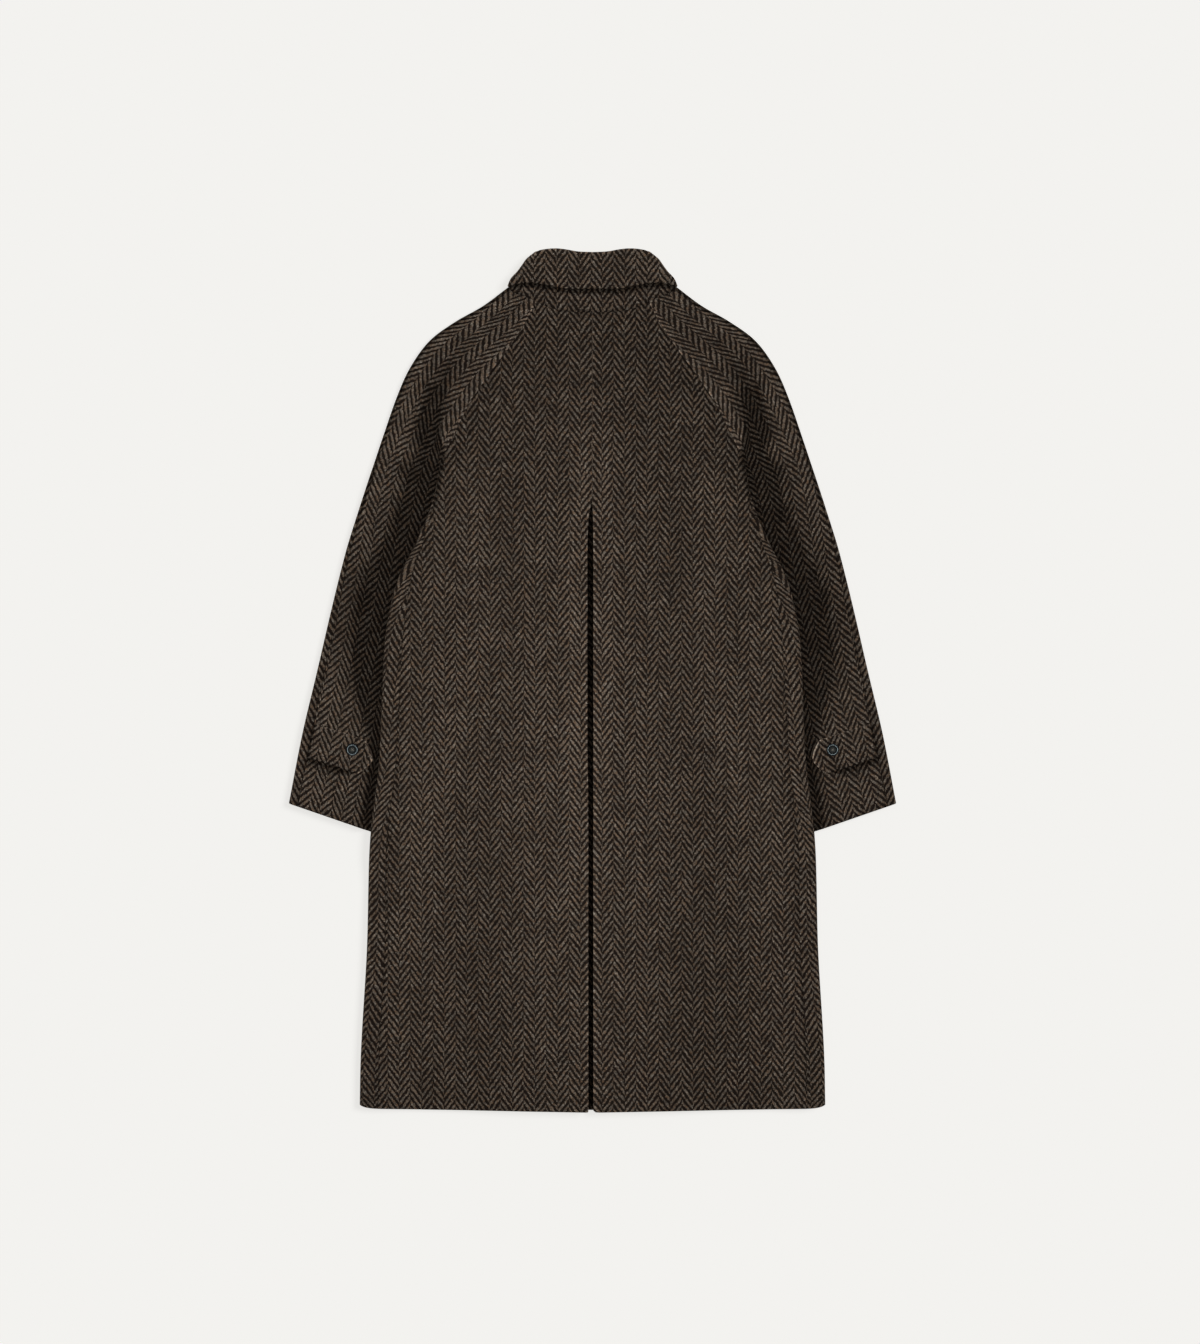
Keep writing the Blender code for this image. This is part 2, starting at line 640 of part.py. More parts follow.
def collar_frame(u):
    """Roll point, way down the leaf, way in, and the leaf's depth at a station."""
    roll, inward = ring(ROLL_LINE, abs(u))
    edge, _ = ring(LEAF_EDGE, abs(u))
    depth = float(np.linalg.norm(edge - roll))
    return roll, (edge - roll) / depth, inward, depth


def collar_leaf(finish):
    """The collar's fall, from its edge up and over the roll to where the stand is sewn on inside."""
    rows = []
    for u in collar_stations():
        roll, down, inward, depth = collar_frame(u)
        points = []
        for share in (1.0, 0.8, 0.55, 0.3):
            bow = COLLAR_SIDE_BOW * abs(inward[0]) * math.sin(math.pi * share**2)
            points.append(roll + down * between(COLLAR_ROLL, depth, share) - inward * bow)
        for angle in np.linspace(0, math.pi, 6):
            out = COLLAR_ROLL * (1 - math.sin(angle))
            points.append(roll + down * out + inward * COLLAR_ROLL * (1 - math.cos(angle)))
        points.append(roll + down * (COLLAR_ROLL + COLLAR_SEAM_DEPTH) + inward * 2 * COLLAR_ROLL)
        rows.append([place(math.copysign(1, u), *point) for point in points])
    return cloth("collar_leaf", [rows], finish)


def collar_stand(finish):
    """The collar's stand, from the seam inside the roll down to the neck seam."""
    rows = []
    for u in collar_stations():
        roll, down, inward, _ = collar_frame(u)
        top = roll + down * (COLLAR_ROLL + COLLAR_SEAM_DEPTH + COLLAR_SEAM_GAP) + inward * 2 * COLLAR_ROLL
        bottom, _ = ring(NECK_SEAM, abs(u))
        rows.append([place(math.copysign(1, u), *between(top, bottom, share)) for share in (0, 0.35, 0.7, 1.0)])
    return cloth("collar_stand", [rows], finish)


SIDES = {-1: "left", 1: "right"}


def main():
    for old in list(bpy.data.objects):
        bpy.data.objects.remove(old)
    tweed = material("tweed", TWEED_COLOUR, 0.95)
    horn = material("button_horn", BUTTON_COLOUR, 0.25)
    pleat_underlay(tweed)
    collar_leaf(tweed)
    collar_stand(tweed)
    for side in SIDES:
        back_panel(side, tweed)
        front_panel(side, tweed)
        sleeve_back(side, tweed)
        sleeve_front(side, tweed)
        cuff_strap(side, tweed)
        cuff_button(side, horn)


main()
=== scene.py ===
# %% [markdown]
# # A raglan overcoat laid out with its back up
#
# This lesson dresses the solid model of a heavy tweed overcoat. The solids already have the coat's
# cut, its layers and its outline. Here each piece is made again as a finer sheet of cloth, with
# rounded edges, soft creases and a herringbone weave, and then lit and looked at from straight above.

# %% Load the solid model
import math
from collections import namedtuple

import bmesh
import bpy
import numpy as np
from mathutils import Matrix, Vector


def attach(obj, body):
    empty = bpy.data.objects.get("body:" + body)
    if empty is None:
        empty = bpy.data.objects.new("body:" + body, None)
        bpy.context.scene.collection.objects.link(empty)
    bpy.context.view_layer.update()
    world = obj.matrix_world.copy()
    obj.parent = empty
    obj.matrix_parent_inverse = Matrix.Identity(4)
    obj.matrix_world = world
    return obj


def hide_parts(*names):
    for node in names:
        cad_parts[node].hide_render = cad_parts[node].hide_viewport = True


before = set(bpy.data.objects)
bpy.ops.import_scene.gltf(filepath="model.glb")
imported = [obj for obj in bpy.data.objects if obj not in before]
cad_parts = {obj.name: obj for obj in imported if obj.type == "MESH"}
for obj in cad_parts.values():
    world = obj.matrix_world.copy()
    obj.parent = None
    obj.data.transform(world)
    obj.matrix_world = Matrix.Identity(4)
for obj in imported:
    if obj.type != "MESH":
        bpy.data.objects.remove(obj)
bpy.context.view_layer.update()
print("solid pieces:", len(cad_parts))

# %% [markdown]
# ## The sizes the coat was cut to
#
# A place on the coat is given by x, the distance out from the centre back, and drop, the distance
# down from the nape, which is the middle of the back neck seam. Heights are those of the middle of
# the cloth. They start from the solid model's own sizes, so that the dressed pieces lie where the solids
# do, apart from a few millimetres where a fold, a strap or a button was matched more closely.

# %% Sizes of the cloth and its layers
CLOTH = 0.003
GAP = 0.0003
LAYER = CLOTH + GAP
STRAP_CLOTH = 0.0036
FRONT_Z = CLOTH / 2
UNDERLAY_Z = FRONT_Z + 2 * LAYER
PLEAT_ROLL = 0.0019
PLEAT_Z = FRONT_Z + 3 * LAYER + 2 * PLEAT_ROLL
TUCK_LIFT = 2 * LAYER
LOFT = 0.0036
NECK_BACK_Z = 0.0130
NECK_FRONT_Z = 0.0060
NECK_RANGE = (-0.02, 0.16)
print("cloth", CLOTH * 1000, "mm thick, back pleat at", round(PLEAT_Z * 1000, 1), "mm")

# %% Sizes of the body
HEM_DROP = 1.0795
HEM_EDGE_RISE = 0.0105
HEM_SETTLE = 0.0245
HEM_CORNER_POWER = 40
COLLAR_TOP_DROP = -0.0850
FRONT_HEM_RISE = 0.003
CENTRE_DROP = (HEM_DROP + COLLAR_TOP_DROP) / 2
SIDE_ROLL = 0.0055
SIDE_ROLL_AT_CUFF = 0.0038
CUFF_PRESS_STARTS = (0.46, 0.58)
CUFF_PRESS_ENDS = (0.70, 0.85)
SIDE_TURN = math.pi * SIDE_ROLL
SIDE_PUFF_WIDTH = 0.060
SEAM_INSET_START = SIDE_TURN / 2
SEAM_INSET_FULL = SIDE_TURN + 0.0165
SEAM_INSET_DROP = 0.45
SIDE_SEAM_GAP = 0.0004
SIDE_FLAT = 0.020
SIDE_SETTLE = 0.030
SIDE_COLUMNS = 0.028
TUCK_FROM_DROP = 0.190
TUCK_FULL_DROP = 0.222
TUCK_LAST_DROP = 0.718
TUCK_CLEAR_DROP = 0.778
TUCK_RAMP = 0.030
BACK_TUCK_RAMP = 0.070
TUCK_MARGIN = 0.006
LEAST_TUCK = 4 * CLOTH
SEAM_ALLOWANCE = 0.014
PLEAT_DEPTH = 0.058
PLEAT_TOP_DROP = 0.250
PLEAT_FLAT = 0.066
PUFF_STARTS = 0.6 * PLEAT_FLAT
PLEAT_FALL = 0.140
PLEAT_OPENING = {-1: 0.0056, 1: 0.0011}
PLEAT_OPENS_OVER = 0.018
PLEAT_SINK = {-1: 0.0064, 1: 0.0042}
PLEAT_SINK_WIDTH = 0.032
PLEAT_SINK_STARTS = (0.10, 0.20)
PLEAT_SINK_FADES = (0.55, 0.92)
SEAM_OVERLAP = 0.0016
PLEAT_CORNER = 0.006
UNDERLAY_RISE = 0.007
FLY_OVERLAP = 0.045
FLY_RAMP = 0.024
NECK_GAP = 0.0008
NECK_FRONT_X = (0.0540, 0.0800, 0.1000, 0.1115)
NECK_FRONT_DROP = (0.0550, 0.0150, -0.0180, -0.0315)
FRONT_NECK_DROPS = (0.0680, 0.0850, 0.1060, 0.1300, 0.1560, 0.1810, 0.2040)

BodyRow = namedtuple("BodyRow", "drop edge")
BODY_ROWS = (
    BodyRow(0.2015, 0.2050),
    BodyRow(0.2540, 0.2150),
    BodyRow(0.3145, 0.2396),
    BodyRow(0.3550, 0.2600),
    BodyRow(0.4160, 0.2760),
    BodyRow(0.5240, 0.2840),
    BodyRow(0.6050, 0.2878),
    BodyRow(0.7020, 0.2990),
    BodyRow(0.8610, 0.3044),
    BodyRow(1.0230, 0.3132),
    BodyRow(1.0795, 0.3140),
)
UNDERARM_DROP = BODY_ROWS[0].drop
print("body", round(HEM_DROP - COLLAR_TOP_DROP, 4), "m long with its collar")

# %% Sizes of the sleeves
SLEEVE_ROLL_ROWS = (0.0, 1.0, 3.5, 5.6, 7.0, 8.0, 9.4, 10.7, 11.6, 13.0, 14.0)
SLEEVE_ROLLS = (0.0048, 0.0046, 0.0033, 0.0022, 0.0028, 0.0037, 0.0036, 0.0032, 0.0034, 0.0050, 0.0050)
SLEEVE_TUCK_Z = FRONT_Z + LAYER
OVERARM_SEAM_OVER_EDGE = 0.005
OVERARM_SEAM_MOVES = (7, 13)
OVERARM_GAP = 0.0004
HOLLOW_FLATS = (0.008, 0.004)
HOLLOW_WIDTHS = (0.050, 0.014)
HOLLOW_NARROWS = (0.47, 0.57)
FOLD_TURNS = (0.020, 0.003)
FOLD_DROPS = (0.076, 0.163)
SEAM_TURNS = ((0.0012, 0.0012), (0.0032, 0.0032))
RAGLAN_TURNS = (*SEAM_TURNS, (0.0070, 0.0035), (0.0120, 0.0036))

SleeveRow = namedtuple("SleeveRow", "edge_x edge_drop back_x back_drop front_x front_drop rise_from rise_to")
SLEEVE_ROWS = (
    SleeveRow(0.1135, -0.0335, 0.0760, -0.0135, 0.0800, 0.0170, 0.15, 1.00),
    SleeveRow(0.1480, -0.0075, 0.0905, 0.0130, 0.0955, 0.0360, 0.15, 1.00),
    SleeveRow(0.1860, 0.0140, 0.1130, 0.0480, 0.1160, 0.0640, 0.20, 1.00),
    SleeveRow(0.2205, 0.0395, 0.1420, 0.0870, 0.1440, 0.0980, 0.10, 0.95),
    SleeveRow(0.2465, 0.0755, 0.1690, 0.1290, 0.1700, 0.1350, 0.15, 0.88),
    SleeveRow(0.2645, 0.1155, 0.1890, 0.1690, 0.1895, 0.1710, 0.60, 0.95),
    SleeveRow(0.2825, 0.1670, 0.2050, 0.2015, 0.1995, 0.2015, 0.30, 0.90),
    SleeveRow(0.2935, 0.2000, 0.2108, 0.2250, 0.2050, 0.2250, 0.25, 0.90),
    SleeveRow(0.3020, 0.2260, 0.2060, 0.2490, 0.2000, 0.2490, 0.20, 0.85),
    SleeveRow(0.3160, 0.2690, 0.2030, 0.2920, 0.2030, 0.2920, 0.15, 0.80),
    SleeveRow(0.3330, 0.3240, 0.1960, 0.3620, 0.1960, 0.3620, 0.12, 0.60),
    SleeveRow(0.3520, 0.4000, 0.2010, 0.4450, 0.2010, 0.4450, 0.10, 0.50),
    SleeveRow(0.3720, 0.4860, 0.2180, 0.5340, 0.2180, 0.5340, 0.12, 0.55),
    SleeveRow(0.3915, 0.5690, 0.2420, 0.6160, 0.2420, 0.6160, 0.20, 0.65),
    SleeveRow(0.4097, 0.6630, 0.2680, 0.7120, 0.2680, 0.7120, 0.25, 0.75),
)
FOLD_ROWS = (
    BodyRow(0.0500, 0.2200),
    BodyRow(0.0850, 0.2140),
    BodyRow(0.1300, 0.2095),
    BodyRow(0.1700, 0.2080),
)
UNDERARM = 6
SEAM_LEAVES_BACK = UNDERARM - 0.5
SLEEVE_END = len(SLEEVE_ROWS) - 1
print("sleeve rows:", len(SLEEVE_ROWS))

# %% [markdown]
# ## Reading smooth forms from short tables
#
# The tables have few rows, because a tailor draws a seam through few points too. The curve between
# them could come from Blender's own curves, but a formula that takes whole arrays at once gives every
# point of a sheet in one go, and lets two pieces share the very same seam line.

# %% Smooth steps and curves
def smooth(value):
    """0 below 0, 1 above 1, and an S-shaped rise between them."""
    t = np.clip(value, 0.0, 1.0)
    return t * t * (3 - 2 * t)


def eased(value, start, full):
    """0 up to start, 1 from full on, and an S-shaped rise between them."""
    return smooth((value - start) / (full - start))


def between(a, b, share):
    return a + (b - a) * share


def through(xs, ys, x):
    """A smooth curve through the points (xs, ys), read at x."""
    xs, ys = np.asarray(xs, float), np.asarray(ys, float)
    slopes = np.gradient(ys, xs)
    i = np.clip(np.searchsorted(xs, x) - 1, 0, len(xs) - 2)
    width = xs[i + 1] - xs[i]
    t = np.clip((x - xs[i]) / width, 0.0, 1.0)
    rest = 1 - t
    return (
        ys[i] * (1 + 2 * t) * rest**2
        + slopes[i] * width * t * rest**2
        + ys[i + 1] * t**2 * (3 - 2 * t)
        - slopes[i + 1] * width * t**2 * rest
    )


def sleeve_column(name, row):
    """A column of the sleeve table, read smoothly at row numbers that may be fractional."""
    return through(range(len(SLEEVE_ROWS)), [getattr(r, name) for r in SLEEVE_ROWS], row)


print("sleeve edge at row 9.5:", round(float(sleeve_column("edge_x", 9.5)), 4))

# %% The height of the body's layers
def body_edge(drop):
    """Half the width of the body, out to its folded side or to the back raglan seam."""
    rows = SLEEVE_ROWS[: UNDERARM + 1]
    at_seam = through([r.back_drop for r in rows], [r.back_x for r in rows], drop)
    at_side = through([r.drop for r in BODY_ROWS], [r.edge for r in BODY_ROWS], drop)
    return np.where(drop < UNDERARM_DROP, at_seam, at_side)


def tuck_lift(x, drop, ramp):
    """How far the sleeve tucked under the body lifts the cloth above it."""
    rows = SLEEVE_ROWS[UNDERARM + 2 :]
    inner = through([r.back_drop for r in rows], [r.back_x for r in rows], drop)
    start = np.minimum(inner, body_edge(drop) - LEAST_TUCK) - TUCK_MARGIN
    rise = eased(drop, TUCK_FROM_DROP, TUCK_FULL_DROP)
    fall = eased(drop, TUCK_LAST_DROP, TUCK_CLEAR_DROP)
    return TUCK_LIFT * rise * (1 - fall) * eased(x, start - ramp, start)


def neck_share(drop):
    """1 at the nape, falling to 0 well down the back."""
    return 1 - eased(drop, *NECK_RANGE)


def back_z(x, drop):
    """Height of the back: it lies on the front with a little loft, fuller at the pleat and the sides."""
    flat = FRONT_Z + LAYER + LOFT
    height = flat + tuck_lift(x, drop, BACK_TUCK_RAMP)
    height = height + (PLEAT_Z - flat) * (1 - eased(x, PLEAT_FLAT, PLEAT_FLAT + PLEAT_FALL))
    inward = body_edge(drop) - x
    fullness = np.where(drop > UNDERARM_DROP, 1.0, 1 - neck_share(drop))
    at_side = 1 - eased(inward, SIDE_FLAT, SIDE_FLAT + SIDE_PUFF_WIDTH)
    off_pleat = eased(x, PUFF_STARTS, PUFF_STARTS + PLEAT_FLAT)
    height = height + (2 * SIDE_ROLL - LAYER - LOFT) * fullness * at_side * off_pleat
    return between(height, NECK_BACK_Z, neck_share(drop))


def front_z(x, drop):
    """Height of a front, flat on the table apart from what it lies over."""
    return FRONT_Z + tuck_lift(x, drop, TUCK_RAMP)


print("back height beside the pleat:", round(float(back_z(0.02, 0.6)) * 1000, 1), "mm")

# %% The folded sides and the hem
def side_roll(drop):
    """Radius of the folded side, which is pressed flatter beside the cuff."""
    beside_cuff = eased(drop, *CUFF_PRESS_STARTS) * (1 - eased(drop, *CUFF_PRESS_ENDS))
    return between(SIDE_ROLL, SIDE_ROLL_AT_CUFF, beside_cuff)


def side_path(along, drop, inside=0.0):
    """(x, z) on the folded side or inside it, along the cloth from where the front starts to turn up."""
    roll = side_roll(drop)
    edge = body_edge(drop) - CLOTH / 2 - roll
    low = front_z(body_edge(drop), drop)
    angle = np.minimum(along, SIDE_TURN) / SIDE_ROLL
    on_top = edge - (along - SIDE_TURN)
    settling = eased(along, SIDE_TURN, SIDE_TURN + SIDE_SETTLE)
    settled = between(low + 2 * roll, back_z(on_top, drop), settling)
    x = np.where(along < SIDE_TURN, edge + (roll - inside) * np.sin(angle), on_top)
    z = np.where(along < SIDE_TURN, low + roll - (roll - inside) * np.cos(angle), settled - inside)
    return x, z


def seam_inset(drop):
    """Where the side seam lies along the folded side: at its edge under the arm, on the back lower down."""
    return between(SEAM_INSET_START, SEAM_INSET_FULL, eased(drop, UNDERARM_DROP, SEAM_INSET_DROP))


def hem_rise(share):
    """How far the hem lifts towards the side, with a rounded corner."""
    return HEM_EDGE_RISE * (share + share**HEM_CORNER_POWER) / 2


def near_hem(drop):
    """0 above the last stretch before the hem, 1 at the hem."""
    return np.clip((drop - HEM_DROP + HEM_SETTLE) / HEM_SETTLE, 0, 1)


print("side seam", round(float(seam_inset(HEM_DROP)) * 1000, 1), "mm along the cloth at the hem")

# %% [markdown]
# ## Creases
#
# Heavy tweed hardly creases, but no cloth lies dead flat. Each crease here is a soft ridge or hollow
# along a given line, wider at one end than at the other, and it fades out at both.
# A noise could give bumps all over, but it would not gather where a sleeve bends or a pleat pulls.

# %% Creases along given lines
CREASE_WANDER = 0.25
CREASE_BENDS = 7.0
CREASE_BEND_SHIFT = 40.0
CREASE_FADE = 0.35

Crease = namedtuple("Crease", "x0 drop0 x1 drop1 width0 width1 height")
BACK_CREASES = (
    Crease(0.016, 0.12, 0.014, 0.95, 0.012, 0.016, 0.0009),
    Crease(0.060, 0.30, 0.045, 1.02, 0.020, 0.034, -0.0007),
    Crease(0.200, 0.24, 0.120, 0.40, 0.016, 0.040, -0.0011),
    Crease(0.225, 0.30, 0.160, 0.47, 0.014, 0.034, 0.0009),
    Crease(0.120, 0.62, 0.100, 1.05, 0.030, 0.050, 0.0011),
    Crease(0.190, 0.70, 0.185, 1.06, 0.024, 0.044, -0.0010),
    Crease(0.255, 0.66, 0.262, 1.05, 0.020, 0.030, 0.0009),
    Crease(0.105, 0.10, 0.040, 0.22, 0.020, 0.030, -0.0007),
    Crease(0.235, 0.45, 0.140, 0.56, 0.018, 0.034, -0.0006),
)
SLEEVE_CREASES = (
    Crease(0.150, 0.020, 0.210, 0.120, 0.012, 0.022, 0.0005),
    Crease(0.200, 0.060, 0.212, 0.170, 0.010, 0.016, -0.0006),
    Crease(0.300, 0.230, 0.245, 0.300, 0.010, 0.018, -0.0005),
    Crease(0.322, 0.300, 0.275, 0.370, 0.010, 0.018, 0.0005),
    Crease(0.340, 0.360, 0.285, 0.420, 0.010, 0.016, -0.0004),
    Crease(0.352, 0.420, 0.305, 0.500, 0.012, 0.018, 0.0005),
    Crease(0.390, 0.600, 0.345, 0.670, 0.012, 0.020, -0.0005),
)


def crease_height(creases, x, drop):
    """The sum of the creases at places on the coat."""
    total = np.zeros(np.broadcast(x, drop).shape)
    for crease in creases:
        run, fall = crease.x1 - crease.x0, crease.drop1 - crease.drop0
        length = math.hypot(run, fall)
        along = ((x - crease.x0) * run + (drop - crease.drop0) * fall) / length**2
        off = ((x - crease.x0) * fall - (drop - crease.drop0) * run) / length
        bend = np.sin(CREASE_BENDS * along + CREASE_BEND_SHIFT * crease.x0)
        off = off + CREASE_WANDER * crease.width0 * bend
        width = between(crease.width0, crease.width1, np.clip(along, 0, 1))
        fade = smooth(along / CREASE_FADE) * smooth((1 - along) / CREASE_FADE)
        total = total + crease.height * fade * np.exp(-((off / width) ** 2))
    return total


print("creases:", len(BACK_CREASES), "a back panel and", len(SLEEVE_CREASES), "a sleeve")

# %% [markdown]
# ## Making a sheet of cloth
#
# A sheet starts as a grid of points through the middle of the cloth. Blender's Solidify could thicken
# it, but it leaves square edges, and a turned hem or a pressed seam is round. So extra lines of points
# are set close to each border, and the wall thins towards it along a half circle. Two maps go with the
# sheet: one in metres along the cloth's own threads, for the weave, and one that lays it out flat in a
# unit square, in case its looks are to be stored as a picture.

# %% Lines of points along the borders
EDGE_STEPS = (0.0001, 0.0004, 0.0009, 0.0016)
EDGE_ROOM = 0.8


def with_border_lines(grid, axis, at_start, at_end):
    """The grid with extra lines of points close to its first and last line along one axis."""
    grid = np.moveaxis(grid, axis, 0)
    first = np.linalg.norm(grid[1, :, :3] - grid[0, :, :3], axis=1).mean()
    last = np.linalg.norm(grid[-1, :, :3] - grid[-2, :, :3], axis=1).mean()
    lines = [grid[0]]
    if at_start:
        steps = [step for step in EDGE_STEPS if step < EDGE_ROOM * first]
        lines += [between(grid[0], grid[1], step / first) for step in steps]
    lines += list(grid[1:-1])
    if at_end:
        steps = [step for step in EDGE_STEPS[::-1] if step < EDGE_ROOM * last]
        lines += [between(grid[-1], grid[-2], step / last) for step in steps]
    lines.append(grid[-1])
    return np.moveaxis(np.array(lines), 0, axis)


def lengths_along(points, axis):
    """How far each point lies along its grid line, in metres."""
    steps = np.linalg.norm(np.diff(points, axis=axis), axis=2)
    return np.insert(np.cumsum(steps, axis=axis), 0, 0.0, axis=axis)


print("extra lines of points along a border:", len(EDGE_STEPS))

# %% The wall of the cloth
LEAST_WALL = 0.10
FLAT_MARGIN = 0.01


def wall_layers(points, wall, borders):
    """The upper and lower surface of a sheet, which thins to a round edge at the borders asked for."""
    down, over = lengths_along(points, 0), lengths_along(points, 1)
    reaches = (down, down[-1:] - down, over, over[:, -1:] - over)
    reach = np.min([r for r, asked in zip(reaches, borders) if asked] + [np.ones_like(down)], axis=0)
    inside = 1 - np.clip(reach / (wall / 2), 0, 1)
    half = wall / 2 * np.sqrt(np.clip(1 - inside**2, LEAST_WALL**2, 1))
    normals = np.cross(np.gradient(points, axis=0), np.gradient(points, axis=1))
    normals /= np.linalg.norm(normals, axis=2, keepdims=True)
    offset = normals * half[:, :, None]
    return points + offset, points - offset


def wall_faces(rows, columns):
    """Faces of a closed sheet: its upper grid, its lower grid and the rim round them."""
    upper = np.arange(rows * columns).reshape(rows, columns)
    lower = upper + rows * columns
    top = np.stack([upper[:-1, :-1], upper[1:, :-1], upper[1:, 1:], upper[:-1, 1:]], axis=2)
    bottom = np.stack([lower[:-1, :-1], lower[:-1, 1:], lower[1:, 1:], lower[1:, :-1]], axis=2)
    loop = np.concatenate([upper[:, 0], upper[-1, 1:], upper[-2::-1, -1], upper[0, -2:0:-1]])
    ahead = np.roll(loop, -1)
    size = rows * columns
    rim = np.stack([ahead, loop, loop + size, ahead + size], axis=1)
    return np.concatenate([top.reshape(-1, 4), bottom.reshape(-1, 4), rim])


def unit_square(points):
    """Where each point lies when the sheet is laid out flat in a unit square."""
    down, over = lengths_along(points, 0), lengths_along(points, 1)
    place = np.stack([over / over[:, -1:], down / down[-1:]], axis=2)
    return FLAT_MARGIN + (1 - 2 * FLAT_MARGIN) * place


print("faces of a wall on 3 by 3 points:", len(wall_faces(3, 3)))

# %% A cloth piece from its grids
ALL_BORDERS = (True, True, True, True)


def cloth_piece(name, grids, finish, wall=CLOTH):
    """A piece of cloth from grids of (x, y, z, across, along) points and the borders to round."""
    vertices, faces, threads, flats = [], [], [], []
    count = 0
    for grid, borders in grids:
        fine = with_border_lines(grid, 0, *borders[:2])
        fine = with_border_lines(fine, 1, *borders[2:])
        points = fine[:, :, :3]
        upper, lower = wall_layers(points, wall, borders)
        vertices += [upper.reshape(-1, 3), lower.reshape(-1, 3)]
        faces.append(wall_faces(*points.shape[:2]) + count)
        threads += [fine[:, :, 3:].reshape(-1, 2)] * 2
        flats += [unit_square(points).reshape(-1, 2)] * 2
        count += 2 * points.shape[0] * points.shape[1]
    mesh = bpy.data.meshes.new(name)
    mesh.from_pydata(np.concatenate(vertices), [], np.concatenate(faces).tolist())
    corners = np.zeros(len(mesh.loops), dtype=np.int32)
    mesh.loops.foreach_get("vertex_index", corners)
    for map_name, values in (("threads", threads), ("OFBake", flats)):
        layer = mesh.uv_layers.new(name=map_name)
        layer.uv.foreach_set("vector", np.concatenate(values)[corners].astype(np.float32).ravel())
    mesh.shade_smooth()
    mesh.materials.append(finish)
    piece = bpy.data.objects.new(name + "_cloth", mesh)
    bpy.context.scene.collection.objects.link(piece)
    print(piece.name, len(mesh.polygons), "faces")
    return piece


def placed(side, x, drop, z, across, along):
    """A grid of points in the model's frame, with their place along the threads."""
    x, drop, z, across, along = np.broadcast_arrays(side * x, drop, z, across, along)
    return np.stack([x, CENTRE_DROP - drop, z, across, along], axis=2)


print("borders rounded on a whole sheet:", sum(ALL_BORDERS))

# %% [markdown]
# ## The tweed
#
# Herringbone is a twill whose slant turns over every centimetre and a half, and where it turns the
# lines do not meet point to point but half a step apart. A picture of cloth would repeat and blur, so
# the weave is worked out from the threads map. The stripe is a to-and-fro wave across the threads, and
# the lines are a wave along them. Noise bends both a little, and small cells, each a float of yarn,
# make the lines uneven and give flecks of other wools. Tweed has no gloss, only the faint sheen of nap.

# %% Helpers for node groups
def add_node(tree, kind, **settings):
    node = tree.nodes.new(kind)
    for name, value in settings.items():
        setattr(node, name, value)
    return node


def fill_inputs(tree, node, values):
    """Sets a node's inputs in order, each to a number or to another node's output; None leaves one alone."""
    for socket, value in zip(node.inputs, values):
        if isinstance(value, bpy.types.NodeSocket):
            tree.links.new(value, socket)
        elif value is not None:
            socket.default_value = value


def math_node(tree, operation, *values):
    node = add_node(tree, "ShaderNodeMath", operation=operation)
    fill_inputs(tree, node, values)
    return node.outputs[0]


def ramp_node(tree, value, low, high, out_low=0.0, out_high=1.0):
    """A soft step from out_low to out_high as value goes from low to high."""
    node = add_node(tree, "ShaderNodeMapRange", interpolation_type="SMOOTHSTEP")
    fill_inputs(tree, node, (value, low, high, out_low, out_high))
    return node.outputs[0]


def noise_node(tree, place, scale, detail=2.0, roughness=0.5):
    node = add_node(tree, "ShaderNodeTexNoise", noise_dimensions="2D")
    tree.links.new(place, node.inputs["Vector"])
    node.inputs["Scale"].default_value = scale
    node.inputs["Detail"].default_value = detail
    node.inputs["Roughness"].default_value = roughness
    return node.outputs["Fac"]


def mix_colours(tree, share, first, second, blend="MIX"):
    node = add_node(tree, "ShaderNodeMix", data_type="RGBA", blend_type=blend)
    for name, value in (("Factor_Float", share), ("A_Color", first), ("B_Color", second)):
        socket = next(s for s in node.inputs if s.identifier == name)
        if isinstance(value, bpy.types.NodeSocket):
            tree.links.new(value, socket)
        else:
            socket.default_value = value
    return next(s for s in node.outputs if s.identifier == "Result_Color")


def stretched(tree, place, across, along):
    """The threads map scaled differently across and along, for noise that follows the threads."""
    node = add_node(tree, "ShaderNodeMapping")
    tree.links.new(place, node.inputs["Vector"])
    node.inputs["Scale"].default_value = (across, along, 1.0)
    return node.outputs["Vector"]


print("node helpers ready")

# %% The lines of the weave
STRIPE = 0.0153
TWILL_STEP = 0.0104
TWILL_SLOPE = 1.32
BEND_ACROSS = 0.0026
BEND_ALONG = 0.0042
BEND_SCALES = (130.0, 190.0)
FLOAT_SCALE = (720.0, 560.0)


def twill_lines(group, threads):
    """The lines as a wave from -1 to 1, and the zigzag across the threads that slants them."""
    split = add_node(group, "ShaderNodeSeparateXYZ")
    group.links.new(threads, split.inputs[0])
    bend_across = math_node(group, "SUBTRACT", noise_node(group, threads, BEND_SCALES[0]), 0.5)
    bend_along = math_node(group, "SUBTRACT", noise_node(group, threads, BEND_SCALES[1], 3.0), 0.5)
    across = math_node(group, "MULTIPLY_ADD", bend_across, BEND_ACROSS, split.outputs["X"])
    along = math_node(group, "MULTIPLY_ADD", bend_along, BEND_ALONG, split.outputs["Y"])
    zigzag = math_node(group, "PINGPONG", across, STRIPE)
    turn = math_node(group, "FRACT", math_node(group, "DIVIDE", across, 2 * STRIPE))
    second = math_node(group, "GREATER_THAN", turn, 0.5)
    slanted = math_node(group, "MULTIPLY_ADD", zigzag, -TWILL_SLOPE, along)
    shifted = math_node(group, "MULTIPLY_ADD", second, TWILL_STEP / 2, slanted)
    phase = math_node(group, "MULTIPLY", shifted, 2 * math.pi / TWILL_STEP)
    return math_node(group, "SINE", phase), zigzag


